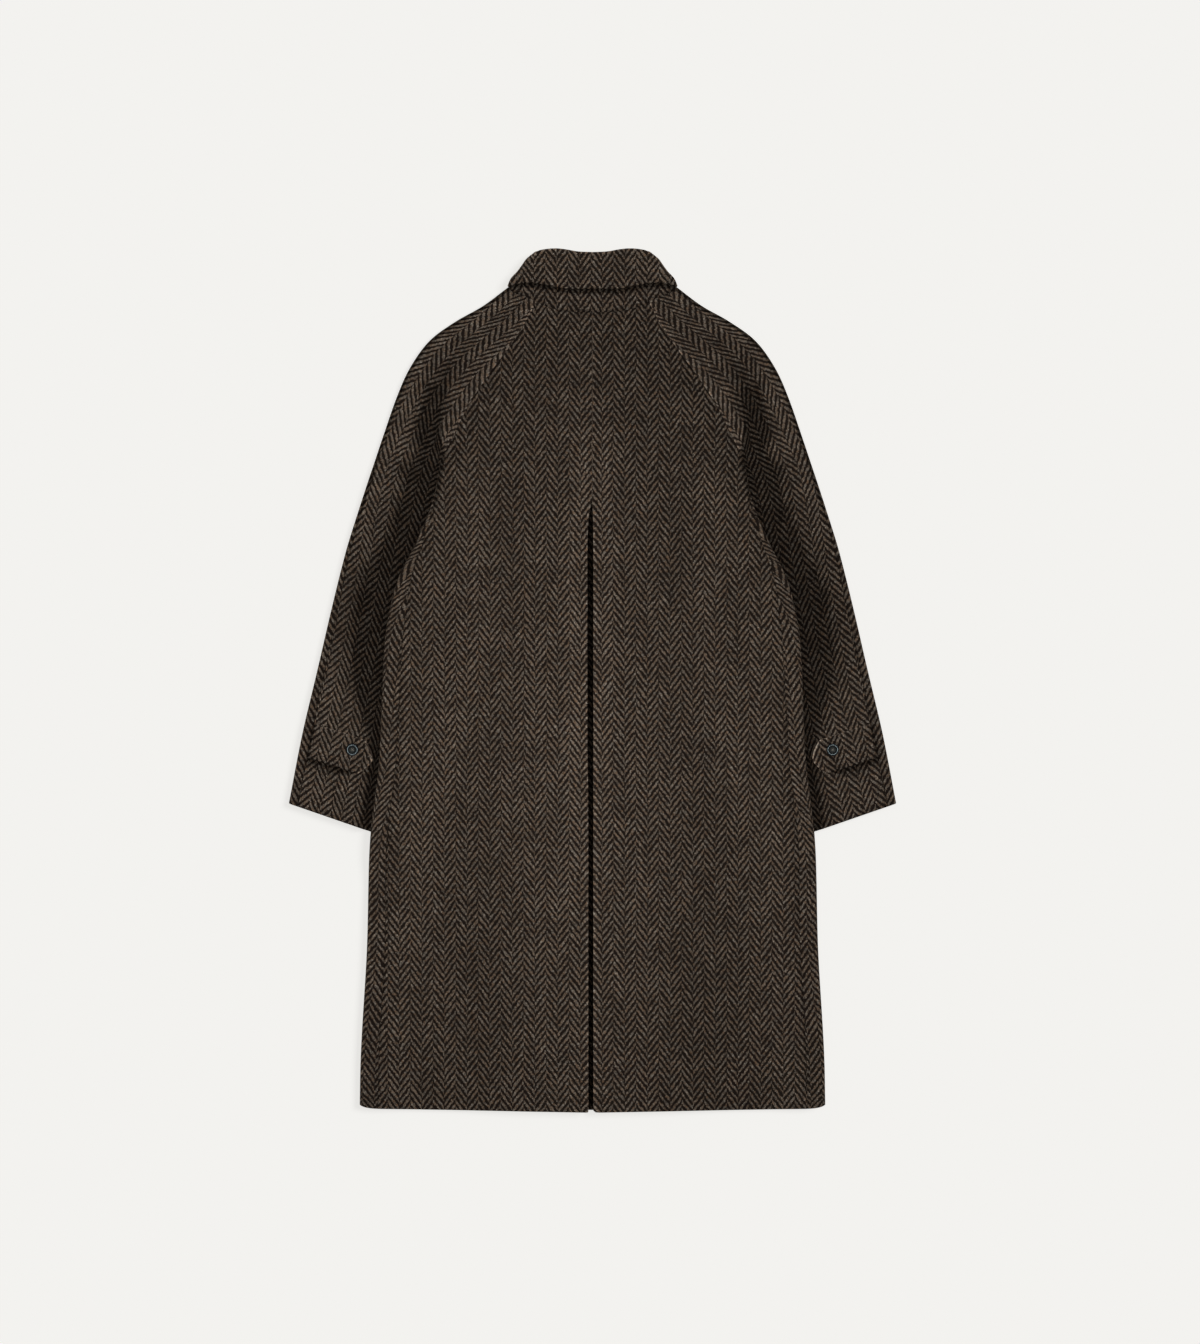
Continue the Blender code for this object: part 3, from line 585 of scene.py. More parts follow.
def yarn_floats(group, threads):
    """Three chances from 0 to 1 that keep their value over each float of yarn."""
    floats = add_node(group, "ShaderNodeTexVoronoi", voronoi_dimensions="2D")
    group.links.new(stretched(group, threads, *FLOAT_SCALE), floats.inputs["Vector"])
    floats.inputs["Scale"].default_value = 1.0
    chance = add_node(group, "ShaderNodeSeparateColor")
    group.links.new(floats.outputs["Color"], chance.inputs[0])
    return chance.outputs[:3]


print("stripe", STRIPE * 1000, "mm wide, a line every", TWILL_STEP * 1000, "mm")

# %% The colours of the wool
DARK_WOOL = (0.0120, 0.0085, 0.0067, 1.0)
LIGHT_WOOL = (0.111, 0.081, 0.058, 1.0)
GREY_WOOL = (0.099, 0.082, 0.066, 1.0)
RUST_WOOL = (0.103, 0.059, 0.033, 1.0)
PALE_WOOL = (0.218, 0.188, 0.153, 1.0)
RUST_SHARE = 0.70
PALE_SHARE = 0.55
DYE_SCALE = (60.0, 210.0)
PATCH_SCALE = 26.0


def light_wool(group, threads, chances):
    """The colour of the light yarns: two dyes, flecks of rust and pale wool, and uneven strength."""
    dye_noise = noise_node(group, stretched(group, threads, *DYE_SCALE), 1.0, 2.0)
    dye = ramp_node(group, dye_noise, 0.42, 0.60)
    rust = ramp_node(group, chances[1], 0.80, 0.86)
    pale = ramp_node(group, chances[2], 0.78, 0.92)
    wool = mix_colours(group, dye, LIGHT_WOOL, GREY_WOOL)
    wool = mix_colours(group, math_node(group, "MULTIPLY", rust, RUST_SHARE), wool, RUST_WOOL)
    wool = mix_colours(group, math_node(group, "MULTIPLY", pale, PALE_SHARE), wool, PALE_WOOL)
    shade = add_node(group, "ShaderNodeHueSaturation")
    group.links.new(wool, shade.inputs["Color"])
    patches = ramp_node(group, noise_node(group, threads, PATCH_SCALE, 2.0), 0.32, 0.68, 0.90, 1.10)
    strength = ramp_node(group, chances[0], 0.0, 1.0, 0.62, 1.25)
    group.links.new(math_node(group, "MULTIPLY", strength, patches), shade.inputs["Value"])
    return shade.outputs["Color"]


print("wools:", len((DARK_WOOL, LIGHT_WOOL, GREY_WOOL, RUST_WOOL, PALE_WOOL)))

# %% The herringbone weave as a node group
YARN_SCALE = (900.0, 480.0)
FIBRE_SCALE = 2600.0
LOOSE_YARN = 2.4
LOOSE_FLOAT = 0.7
STRIPE_END = (0.44, 0.52)


def herringbone_group():
    group = bpy.data.node_groups.new("herringbone_tweed", "ShaderNodeTree")
    group.interface.new_socket("Threads", in_out="INPUT", socket_type="NodeSocketVector")
    group.interface.new_socket("Colour", in_out="OUTPUT", socket_type="NodeSocketColor")
    group.interface.new_socket("Relief", in_out="OUTPUT", socket_type="NodeSocketFloat")
    group.interface.new_socket("Roughness", in_out="OUTPUT", socket_type="NodeSocketFloat")
    threads = add_node(group, "NodeGroupInput").outputs["Threads"]
    ends = add_node(group, "NodeGroupOutput")

    wave, zigzag = twill_lines(group, threads)
    chances = yarn_floats(group, threads)
    yarn = noise_node(group, stretched(group, threads, *YARN_SCALE), 1.0, 3.0, 0.7)
    loose = math_node(group, "MULTIPLY_ADD", yarn, LOOSE_YARN, -LOOSE_YARN / 2)
    loose = math_node(group, "SUBTRACT", loose, LOOSE_FLOAT / 2)
    loose = math_node(group, "MULTIPLY_ADD", chances[0], LOOSE_FLOAT, loose)
    light = ramp_node(group, math_node(group, "ADD", wave, loose), -0.30, 0.62)
    middle = math_node(group, "ABSOLUTE", math_node(group, "SUBTRACT", zigzag, STRIPE / 2))
    open_end = ramp_node(group, middle, *(share * STRIPE for share in STRIPE_END), 1.0, 0.45)
    light = math_node(group, "MULTIPLY", light, open_end)
    colour = mix_colours(group, light, DARK_WOOL, light_wool(group, threads, chances))

    fibres = noise_node(group, threads, FIBRE_SCALE, 2.0, 0.6)
    relief = math_node(group, "MULTIPLY_ADD", fibres, 0.45, light)
    rough = math_node(group, "MULTIPLY_ADD", fibres, 0.12, 0.86)
    group.links.new(colour, ends.inputs["Colour"])
    group.links.new(relief, ends.inputs["Relief"])
    group.links.new(rough, ends.inputs["Roughness"])
    return group


weave = herringbone_group()
print("weave:", len(weave.nodes), "nodes")

# %% The tweed material
def tweed_material():
    made = bpy.data.materials.new("herringbone_tweed")
    made.use_nodes = True
    tree = made.node_tree
    shader = tree.nodes["Principled BSDF"]
    threads = add_node(tree, "ShaderNodeUVMap", uv_map="threads")
    pattern = add_node(tree, "ShaderNodeGroup", node_tree=weave)
    bump = add_node(tree, "ShaderNodeBump")
    bump.inputs["Strength"].default_value = 0.55
    bump.inputs["Distance"].default_value = 0.0008
    tree.links.new(threads.outputs["UV"], pattern.inputs["Threads"])
    tree.links.new(pattern.outputs["Colour"], shader.inputs["Base Color"])
    tree.links.new(pattern.outputs["Roughness"], shader.inputs["Roughness"])
    tree.links.new(pattern.outputs["Relief"], bump.inputs["Height"])
    tree.links.new(bump.outputs["Normal"], shader.inputs["Normal"])
    shader.inputs["Specular IOR Level"].default_value = 0.0
    shader.inputs["Sheen Weight"].default_value = 0.03
    shader.inputs["Sheen Roughness"].default_value = 0.6
    shader.inputs["Sheen Tint"].default_value = (0.62, 0.52, 0.42, 1.0)
    return made


tweed = tweed_material()
print("material:", tweed.name)

# %% [markdown]
# ## The back
#
# The back is two panels, joined by a seam from the nape to the top of an inverted pleat. Below that
# each panel's edge folds under and runs back behind it, and a strip of cloth lies behind both folds.
# A row of the grid starts at the raglan or side seam, crosses the panel, rounds the fold and follows
# the cloth that is turned under, so that the fold is one piece of cloth as it is on the coat.

# %% The pleat's fold and the outer edge of a panel
SIDE_STEPS = 19
SIDE_STEPS_GATHER = 1.5
FOLD_STEPS = 11
UNDER_STEPS = 7
PLEAT_TURN_GROWS = 0.03


def pleat_opening(drop):
    """How far the pleat has opened, from 0 on the sewn seam to nearly 1 well below it."""
    return 1 - np.exp(-np.maximum(drop - PLEAT_TOP_DROP, 0) / PLEAT_OPENS_OVER)


def pleat_sink(side, drop):
    """How far a panel sinks at the centre: both alike on the seam, the left one more at the open pleat."""
    along = eased(drop, *PLEAT_SINK_STARTS) * (1 - eased(drop, *PLEAT_SINK_FADES))
    at_seam = (PLEAT_SINK[-1] + PLEAT_SINK[1]) / 2
    return between(at_seam, PLEAT_SINK[side], pleat_opening(drop)) * along


def pleat_fold(side, drop):
    """(x, z) round a panel's folded edge and along the cloth turned under it."""
    opening = pleat_opening(drop)
    edge = PLEAT_OPENING[side] * opening + CLOTH / 2 - SEAM_OVERLAP * (1 - opening)
    centre = edge + PLEAT_ROLL
    top = back_z(centre, drop) - pleat_sink(side, drop)
    angle = np.linspace(0, math.pi, FOLD_STEPS)
    grown = eased(drop, PLEAT_TOP_DROP - PLEAT_TURN_GROWS, PLEAT_TOP_DROP)
    turned_under = between(SEAM_ALLOWANCE, PLEAT_DEPTH, grown)
    under_x = between(centre, edge + turned_under, np.linspace(0, 1, UNDER_STEPS)[1:])
    x = np.hstack([centre - PLEAT_ROLL * np.sin(angle), under_x])
    turned_z = np.minimum(back_z(under_x, drop), top) - 2 * PLEAT_ROLL
    z = np.hstack([top - PLEAT_ROLL * (1 - np.cos(angle)), turned_z])
    return x, z


def back_outside(row, drop, edge):
    """(x, z) of the columns nearest the raglan seam or, below the arm, round the folded side."""
    share = np.linspace(0, 1, SIDE_STEPS) ** SIDE_STEPS_GATHER
    flat_x = between(edge - GAP, edge - SIDE_COLUMNS, share)
    below = np.maximum(drop, UNDERARM_DROP)
    start = seam_inset(below) + SIDE_SEAM_GAP
    side_x, side_z = side_path(between(start, SIDE_TURN + 2 * SIDE_COLUMNS, share), below)
    turned = np.clip(2 * (row - UNDERARM) + 1, 0, 1)
    x = between(flat_x, side_x - body_edge(below) + edge, turned)
    return x, between(back_z(flat_x, drop), side_z, turned)


print("pleat open by", round(sum(PLEAT_OPENING.values()) * 1000, 1), "mm well below its top")

# %% The back panels
SIDES = {-1: "left", 1: "right"}
FIRST_STRIPE = {-1: -0.0165, 1: 0.0130}
BACK_ROWS_ABOVE = 49
BACK_ROWS_BELOW = 176
BACK_COLUMNS = 50
NECK_EDGE_EASES = 0.12
CREASES_LEAVE_SIDE = 0.03
CREASES_LEAVE_PLEAT = (0.006, 0.016)
CREASES_LEAVE_NECK = (0.02, 0.07)


def back_grid(side):
    above = np.linspace(0, UNDERARM, BACK_ROWS_ABOVE)
    below = np.linspace(UNDERARM_DROP, HEM_DROP, BACK_ROWS_BELOW)[1:]
    row = np.concatenate([above, np.full(len(below), UNDERARM)])[:, None]
    drop = np.concatenate([sleeve_column("back_drop", above), below])[:, None]
    edge = np.concatenate([sleeve_column("back_x", above), body_edge(below)])[:, None]
    neck = SLEEVE_ROWS[0].back_drop
    middle = drop + (NECK_GAP - neck) * np.clip(1 - (drop - neck) / NECK_EDGE_EASES, 0, 1)
    out_x, out_z = back_outside(row, drop, edge)
    in_x, in_z = pleat_fold(side, middle)
    flat_x = between(out_x[:, -1:], in_x[:, :1], np.linspace(0, 1, BACK_COLUMNS)[1:-1])
    x = np.hstack([out_x, flat_x, in_x])
    share = np.minimum(1, x / edge)
    fall = between(middle, drop, share**3)
    sink = pleat_sink(side, middle) * (1 - smooth((flat_x - in_x[:, :1]) / PLEAT_SINK_WIDTH))
    z = np.hstack([out_z, back_z(flat_x, drop) - sink, in_z])
    fold = out_x.shape[1] + flat_x.shape[1]
    on_top = np.arange(x.shape[1]) < fold + 1
    ease = smooth((edge - x) / CREASES_LEAVE_SIDE) * eased(x, *CREASES_LEAVE_PLEAT)
    ease = ease * eased(drop, *CREASES_LEAVE_NECK)
    z = z + crease_height(BACK_CREASES, x, fall) * ease * on_top
    corner = PLEAT_CORNER * np.clip(1 - x / PLEAT_CORNER, 0, 1) ** 2
    fall = fall - (hem_rise(share) + corner) * near_hem(drop)
    over = lengths_along(np.stack([x, fall * np.ones_like(x), z], axis=2), 1)
    across = side * (x[:, fold : fold + 1] + over[:, fold : fold + 1] - over) - FIRST_STRIPE[side]
    return placed(side, x, fall, z, across, -fall)


back_panels = {}
for side, word in SIDES.items():
    back_panels[side] = cloth_piece(f"back_{word}", [(back_grid(side), ALL_BORDERS)], tweed)

# %% The strip behind the pleat
UNDERLAY_OVER_TOP = 0.02
UNDERLAY_ROWS = 90
UNDERLAY_COLUMNS = 25


def underlay_grid():
    drop = np.linspace(PLEAT_TOP_DROP - UNDERLAY_OVER_TOP, HEM_DROP - UNDERLAY_RISE, UNDERLAY_ROWS)[:, None]
    x = np.linspace(-PLEAT_DEPTH, PLEAT_DEPTH, UNDERLAY_COLUMNS)[None, :]
    return placed(1, x, drop, UNDERLAY_Z, x, -drop)


underlay = cloth_piece("pleat_underlay", [(underlay_grid(), ALL_BORDERS)], tweed)

# %% [markdown]
# ## The fronts
#
# The fronts lie underneath, the right one over the left at the centre. Each runs out to the side,
# turns up round it and comes over onto the back, where the side seam is. One grid could do both, but the
# fold starts only at the underarm. So the part on the table and the part that turns up are two grids of
# one piece, which meet along the bottom of the fold.

# %% The part of a front on the table
STAND_END_CLEARANCE = 0.006
STAND_END_EASES = (0.004, 0.024)
FRONT_ROWS_ABOVE = 25
FRONT_ROWS_BELOW = 106
FRONT_COLUMNS = 49
FRONT_NECK_POWER = 5
FRONT_HEM_POWER = 8
FLY_CLEARANCE = 0.003
NECK_LIFT_ROWS = 2
NECK_LIFT_RAMP = 0.012


def front_neck(x):
    """Drop of the front's neck edge, just below the collar stand."""
    end_x, end_drop = NECK_FRONT_X[0], NECK_FRONT_DROP[0]
    inner = between(FRONT_NECK_DROPS[0], end_drop + STAND_END_CLEARANCE, np.clip(x / end_x, 0, 1))
    clearance = STAND_END_CLEARANCE * (1 - eased(x - end_x, *STAND_END_EASES))
    outer = through(NECK_FRONT_X, NECK_FRONT_DROP, x) + clearance + 2 * NECK_GAP
    return np.where(x < end_x, inner, outer)


def neck_lift(row):
    """How far the fronts of body and sleeves lift towards the neck, at rows of the sleeve table."""
    return (NECK_FRONT_Z - FRONT_Z) * (1 - smooth(row / NECK_LIFT_ROWS))


def front_flat_grid(side):
    above = np.linspace(0, UNDERARM, FRONT_ROWS_ABOVE)
    below = np.linspace(UNDERARM_DROP, HEM_DROP, FRONT_ROWS_BELOW)[1:]
    row = np.concatenate([above, np.full(len(below), UNDERARM)])[:, None]
    drop = np.concatenate([sleeve_column("front_drop", above), below])[:, None]
    seam_x = sleeve_column("front_x", np.minimum(row, UNDERARM - 1)) - GAP
    side_x, _ = side_path(0.0, np.maximum(drop, UNDERARM_DROP))
    reach = between(seam_x, side_x, np.clip(row - UNDERARM + 1, 0, 1))
    x = between(-FLY_OVERLAP, reach, np.linspace(0, 1, FRONT_COLUMNS)[None, :])
    share = np.maximum(0.0, x) / reach
    centre = np.interp(row, range(len(FRONT_NECK_DROPS)), FRONT_NECK_DROPS)
    middle = np.where(row < UNDERARM, centre, drop)
    fall = between(middle, drop, share ** np.maximum(1, FRONT_NECK_POWER - row))
    fall = between(front_neck(x), fall, np.clip(row, 0, 1))
    rise = FRONT_HEM_RISE * (1 - share**FRONT_HEM_POWER) + hem_rise(share)
    fall = fall - rise * near_hem(drop)
    clear = x - FLY_OVERLAP - FLY_CLEARANCE
    fly = 0.0 if side < 0 else LAYER * (1 - smooth(clear / FLY_RAMP))
    z = front_z(x, drop) + fly + neck_lift(row) * smooth(clear / NECK_LIFT_RAMP)
    return placed(side, x, fall, z, side * x, -fall)


print("each front passes the centre by", FLY_OVERLAP * 1000, "mm")

# %% The part of a front that turns round the side
FRONT_SIDE_COLUMNS = 19


def front_side_grid(side):
    drop = np.linspace(UNDERARM_DROP, HEM_DROP, FRONT_ROWS_BELOW)[:, None]
    along = seam_inset(drop) * np.linspace(0, 1, FRONT_SIDE_COLUMNS)[None, :]
    x, z = side_path(along, drop)
    for out, under in SEAM_TURNS:
        turn_x, turn_z = side_path(seam_inset(drop) + out, drop, under)
        along = np.hstack([along, seam_inset(drop) + out])
        x = np.hstack([x, turn_x])
        z = np.hstack([z, turn_z])
    rise = hem_rise(x / body_edge(drop)) * near_hem(drop)
    return placed(side, x, drop - rise, z, side * (side_path(0.0, drop)[0] + along), -drop)


def front_grids(side):
    """A front's two grids, with the borders of each that are rounded."""
    flat = (front_flat_grid(side), (True, True, True, False))
    return [flat, (front_side_grid(side), (True, True, False, True))]


fronts = {side: cloth_piece(f"front_{word}", front_grids(side), tweed) for side, word in SIDES.items()}

# %% [markdown]
# ## The sleeves
#
# A raglan sleeve runs up to the neck, and its seam slants from the neck to the underarm. The sleeves
# lie a little under the body, so that each dips into a dark hollow beside the body's folded edge, and
# the hollow runs on above the underarm as a fold. It could be sculpted, but a height worked out for
# each point keeps the fold in line with the body's side. The grid follows the sleeve from neck to cuff,
# and across it from the overarm seam to the inner edge, where its cloth is turned under the back. The
# threads run along the sleeve, so the stripes slant with it.

# %% A sleeve's form
def sleeve_roll(row):
    """Radius of the sleeve's rolled outer edge, fuller at the neck and at the cuff."""
    return through(SLEEVE_ROLL_ROWS, SLEEVE_ROLLS, row)


def sleeve_outer_z(row):
    """Height of the sleeve's back next to its rolled edge."""
    return FRONT_Z + 2 * sleeve_roll(row)


def sleeve_length_across(row):
    run = sleeve_column("back_x", row) - sleeve_column("edge_x", row)
    return np.hypot(run, sleeve_column("back_drop", row) - sleeve_column("edge_drop", row))


def on_sleeve_row(row, share):
    """(x, drop) a share of the way from the sleeve's outer edge to its back seam or inner edge."""
    x = between(sleeve_column("edge_x", row), sleeve_column("back_x", row), share)
    return x, between(sleeve_column("edge_drop", row), sleeve_column("back_drop", row), share)


def sleeve_inner_z(row):
    """Height of the inner edge of the sleeve's back: on the raglan seam, then tucked under the body."""
    on_seam = back_z(sleeve_column("back_x", row), sleeve_column("back_drop", row))
    underarm = front_z(body_edge(UNDERARM_DROP), UNDERARM_DROP) + SIDE_ROLL
    last = SEAM_LEAVES_BACK
    last_seam = back_z(sleeve_column("back_x", last), sleeve_column("back_drop", last))
    tucked = np.interp(row, (last, UNDERARM, UNDERARM + 1), (last_seam, underarm, SLEEVE_TUCK_Z))
    return np.where(row < last, on_seam, tucked)


def fold_edge(drop):
    """x of the fold that runs up into the sleeve from the underarm, and of the body's side below it."""
    rows = FOLD_ROWS + BODY_ROWS
    return through([r.drop for r in rows], [r.edge for r in rows], drop)


def sleeve_back_point(row, across):
    """A point of the sleeve's back, with across 0 on top of the edge's roll and 1 at the inner edge."""
    length, roll = sleeve_length_across(row), sleeve_roll(row)
    x, drop = on_sleeve_row(row, between((CLOTH / 2 + roll) / length, 1 - GAP / length, across))
    rise = eased(across, sleeve_column("rise_from", row), sleeve_column("rise_to", row))
    outer_z = sleeve_outer_z(row)
    smooth_z = between(outer_z, sleeve_inner_z(row), rise)
    room = x - fold_edge(drop)
    narrowed = eased(drop, *HOLLOW_NARROWS)
    flat, width = between(*HOLLOW_FLATS, narrowed), between(*HOLLOW_WIDTHS, narrowed)
    hollow_z = between(SLEEVE_TUCK_Z, outer_z, eased(room, flat, width))
    depth = eased(drop, *FOLD_DROPS)
    turn = between(*FOLD_TURNS, depth)
    folded_z = between(sleeve_inner_z(row), hollow_z, eased(room, -turn, turn))
    return x, drop, between(smooth_z, folded_z, depth)


def sleeve_edge_point(row, along, inside=0.0):
    """A point round the sleeve's outer edge or inside it, along the cloth from where it leaves the table."""
    length, roll = sleeve_length_across(row), sleeve_roll(row)
    angle = np.minimum(along / roll, math.pi)
    x, drop = on_sleeve_row(row, (CLOTH / 2 + roll - (roll - inside) * np.sin(angle)) / length)
    over = np.maximum(along - math.pi * roll, 0) / (length - CLOTH / 2 - roll)
    top_x, top_drop, top_z = sleeve_back_point(row, over)
    on_top = along > math.pi * roll
    z = FRONT_Z + roll - (roll - inside) * np.cos(angle)
    return np.where(on_top, top_x, x), np.where(on_top, top_drop, drop), np.where(on_top, top_z - inside, z)


def overarm_seam(row):
    """Where the overarm seam lies along the cloth: at the very edge, and just over it near the cuff."""
    turn = math.pi * sleeve_roll(row)
    return between(turn / 2, turn + OVERARM_SEAM_OVER_EDGE, eased(row, *OVERARM_SEAM_MOVES))


print("sleeve at the cuff:", round(float(sleeve_outer_z(SLEEVE_END)) * 1000, 1), "mm high at its edge")

# %% The sleeves' points
SLEEVE_LINES = 141
SLEEVE_COLUMNS = 86
SLEEVE_EDGE_COLUMNS = 10
SLEEVE_FRONT_COLUMNS = 15
EDGE_BAND = 0.012
GRAIN_SHARE_NECK = 0.5
GRAIN_SHARE_CUFF = 0.25
GRAIN_SETTLED_ROW = 9
SLEEVE_STRIPE = 0.006
CREASES_LEAVE_BODY = (0.004, 0.024)
CREASES_LEAVE_EDGE = (0.006, 0.026)


def along_threads(row, x, drop, z):
    """Distances across and along the sleeve's threads, from a line that runs down the sleeve."""
    over = lengths_along(np.stack([x, drop, z], axis=2), 1)
    share = between(GRAIN_SHARE_NECK, GRAIN_SHARE_CUFF, smooth(row / GRAIN_SETTLED_ROW))
    line_x, line_drop = on_sleeve_row(row, share)
    step_x = np.diff(line_x, axis=0, prepend=line_x[:1])
    step_drop = np.diff(line_drop, axis=0, prepend=line_drop[:1])
    down = np.cumsum(np.hypot(step_x, step_drop), axis=0)
    return over - share * sleeve_length_across(row) + SLEEVE_STRIPE, -down * np.ones_like(x)


def sleeve_back_grid(side):
    row = np.linspace(0, SLEEVE_END, SLEEVE_LINES)[:, None]
    start = overarm_seam(row) + OVERARM_GAP / 2
    edge = sleeve_edge_point(row, start + np.linspace(0, EDGE_BAND, SLEEVE_EDGE_COLUMNS)[None, :])
    on_top = start + EDGE_BAND - math.pi * sleeve_roll(row)
    first = on_top / (sleeve_length_across(row) - CLOTH / 2 - sleeve_roll(row))
    top = sleeve_back_point(row, between(first, 1.0, np.linspace(0, 1, SLEEVE_COLUMNS)[None, 1:]))
    x, drop, z = (np.hstack(pair) for pair in zip(edge, top))
    inner = np.where(row < UNDERARM, sleeve_column("back_x", row), body_edge(drop))
    ease = eased(x - inner, *CREASES_LEAVE_BODY)
    ease = ease * eased(sleeve_column("edge_x", row) - x, *CREASES_LEAVE_EDGE)
    z = z + crease_height(SLEEVE_CREASES, x, drop) * ease
    turned = 1 - smooth(row - UNDERARM)
    for out, under in RAGLAN_TURNS:
        turn_x, turn_drop = on_sleeve_row(row, 1 + out / sleeve_length_across(row))
        x = np.hstack([x, turn_x])
        drop = np.hstack([drop, turn_drop])
        z = np.hstack([z, sleeve_inner_z(row) - under * turned])
    across, along = along_threads(row, x, drop, z)
    return placed(side, x, drop, z, -side * across, along)


def sleeve_front_grid(side):
    row = np.linspace(0, SLEEVE_END, SLEEVE_LINES)[:, None]
    start = overarm_seam(row) - OVERARM_GAP / 2
    edge = sleeve_edge_point(row, start * np.linspace(1, 0, SLEEVE_EDGE_COLUMNS)[None, :])
    length = sleeve_length_across(row)
    share = (1 - GAP / length) * np.linspace(0, 1, SLEEVE_FRONT_COLUMNS)[None, 1:]
    x = between(edge[0][:, -1:], sleeve_column("front_x", row), share)
    drop = between(edge[1][:, -1:], sleeve_column("front_drop", row), share)
    z = FRONT_Z + neck_lift(row) * share
    turns = [sleeve_edge_point(row, start + out, under) for out, under in SEAM_TURNS[::-1]]
    x, drop, z = (np.hstack(parts) for parts in zip(*turns, edge, (x, drop, z)))
    across, along = along_threads(row, x, drop, z)
    return placed(side, x, drop, z, side * across, along)


sleeve_backs, sleeve_fronts = {}, {}
for side, word in SIDES.items():
    sleeve_backs[side] = cloth_piece(f"sleeve_back_{word}", [(sleeve_back_grid(side), ALL_BORDERS)], tweed)
    sleeve_fronts[side] = cloth_piece(f"sleeve_front_{word}", [(sleeve_front_grid(side), ALL_BORDERS)], tweed)

# %% [markdown]
# ## The collar
#
# The collar is two pieces. The stand rises from the neck seam, and the leaf is sewn to it inside,
# rolls over the top and falls over it on the outside. A flat strip could be bent along a curve by a
# modifier, but then its edge would not follow the real one. So lines round the neck give the
# leaf's edge, the roll and the neck seam, and the cloth is spanned between them. At the sides each line
# turns over on a half circle, because the collar lies flattened like the rest of the coat.

# %% The lines round the neck
COLLAR_ROLL = 0.0024
COLLAR_SEAM_DEPTH = 0.008
COLLAR_SEAM_GAP = 0.0018
COLLAR_FRONT_Z = FRONT_Z + 0.0009
COLLAR_BOW_PLACES = (0.0, 0.16, 0.36, 0.56, 0.74, 1.0)
COLLAR_BOWS = (0.0, 0.0034, 0.0031, 0.0028, 0.0042, 0.0006)
COLLAR_TURN = (0.46, 0.62)

NeckLine = namedtuple("NeckLine", "side_x top_z bottom_z back_x back_drop front_x front_drop")
LEAF_EDGE = NeckLine(
    0.1130, 0.0180, COLLAR_FRONT_Z,
    (0.0, 0.0400, 0.0580, 0.0760, 0.0940, 0.1130), (-0.0300, -0.0306, -0.0340, -0.0374, -0.0376, -0.0335),
    (0.0450, 0.0800, 0.1000, 0.1130), (0.0290, -0.0080, -0.0280, -0.0335),
)
ROLL_LINE = NeckLine(
    0.0770, 0.0174, COLLAR_FRONT_Z,
    (0.0, 0.0220, 0.0360, 0.0480, 0.0600, 0.0770), (-0.0785, -0.0797, -0.0822, -0.0835, -0.0830, -0.0800),
    (0.0180, 0.0450, 0.0660, 0.0770), (-0.0080, -0.0450, -0.0720, -0.0800),
)
NECK_SEAM = NeckLine(
    0.1115, NECK_BACK_Z, NECK_FRONT_Z,
    (0.0, 0.0330, 0.0590, 0.0760, 0.0950, 0.1115), (0.0, -0.0014, -0.0065, -0.0145, -0.0240, -0.0315),
    NECK_FRONT_X, NECK_FRONT_DROP,
)


def neck_ring(line, u):
    """Points on a line round the neck and the way in from them: u is 0 at the centre back, 1 at the end."""
    radius = (line.top_z - line.bottom_z) / 2
    turn_x = line.side_x - radius
    start, end = COLLAR_TURN
    angle = math.pi * np.clip((u - start) / (end - start), 0, 1)
    back_x = turn_x * np.minimum(u, start) / start
    front_x = between(turn_x, line.front_x[0], np.clip((u - end) / (1 - end), 0, 1))
    x = np.where(u <= start, back_x, np.where(u >= end, front_x, turn_x + radius * np.sin(angle)))
    on_back = through(line.back_x, line.back_drop, x)
    on_front = through(line.front_x, line.front_drop, x)
    drop = between(on_back, on_front, (1 - np.cos(angle)) / 2)
    z = line.bottom_z + radius * (1 + np.cos(angle))
    inward = np.stack([-np.sin(angle), np.zeros_like(angle), -np.cos(angle)], axis=1)
    return np.stack([x, drop, z], axis=1), inward


print("collar depth:", round(LEAF_EDGE.back_drop[0] - ROLL_LINE.back_drop[0] + CLOTH / 2, 4), "m")

# %% Stations along the collar
COLLAR_STATIONS = (44, 25, 22)


def collar_stations():
    """Stations along the whole collar, -1 to 1, closer together where it turns round the sides."""
    start, end = COLLAR_TURN
    back, turn, front = COLLAR_STATIONS
    stretches = [
        np.linspace(0, start, back),
        np.linspace(start, end, turn)[1:],
        np.linspace(end, 1, front)[1:],
    ]
    half = np.concatenate(stretches)
    return np.concatenate([-half[:0:-1], half])


def collar_point(u, points, along):
    """Points of the collar's two halves in the model's frame; points are shaped stations, steps, 3."""
    side = np.where(u < 0, -1.0, 1.0)[:, None]
    x, drop, z = (points[:, :, i] for i in range(3))
    level = np.stack([side * x, np.zeros_like(x), z], axis=2)
    across = lengths_along(level, 0)
    across = across - across[len(u) // 2] - FIRST_STRIPE[1]
    return placed(side, x, drop, z, across, along)


def collar_frame(u):
    """Roll points, ways down the leaf, ways in, and the leaf's depth at the stations."""
    roll, inward = neck_ring(ROLL_LINE, np.abs(u))
    edge, _ = neck_ring(LEAF_EDGE, np.abs(u))
    depth = np.linalg.norm(edge - roll, axis=1)[:, None]
    return roll, (edge - roll) / depth, inward, depth


print("stations along the collar:", len(collar_stations()))

# %% The leaf
LEAF_STEPS = 22
LEAF_TOP_SHARE = 0.05
LEAF_ROLL_STEPS = 13
LEAF_INSIDE_STEPS = 4


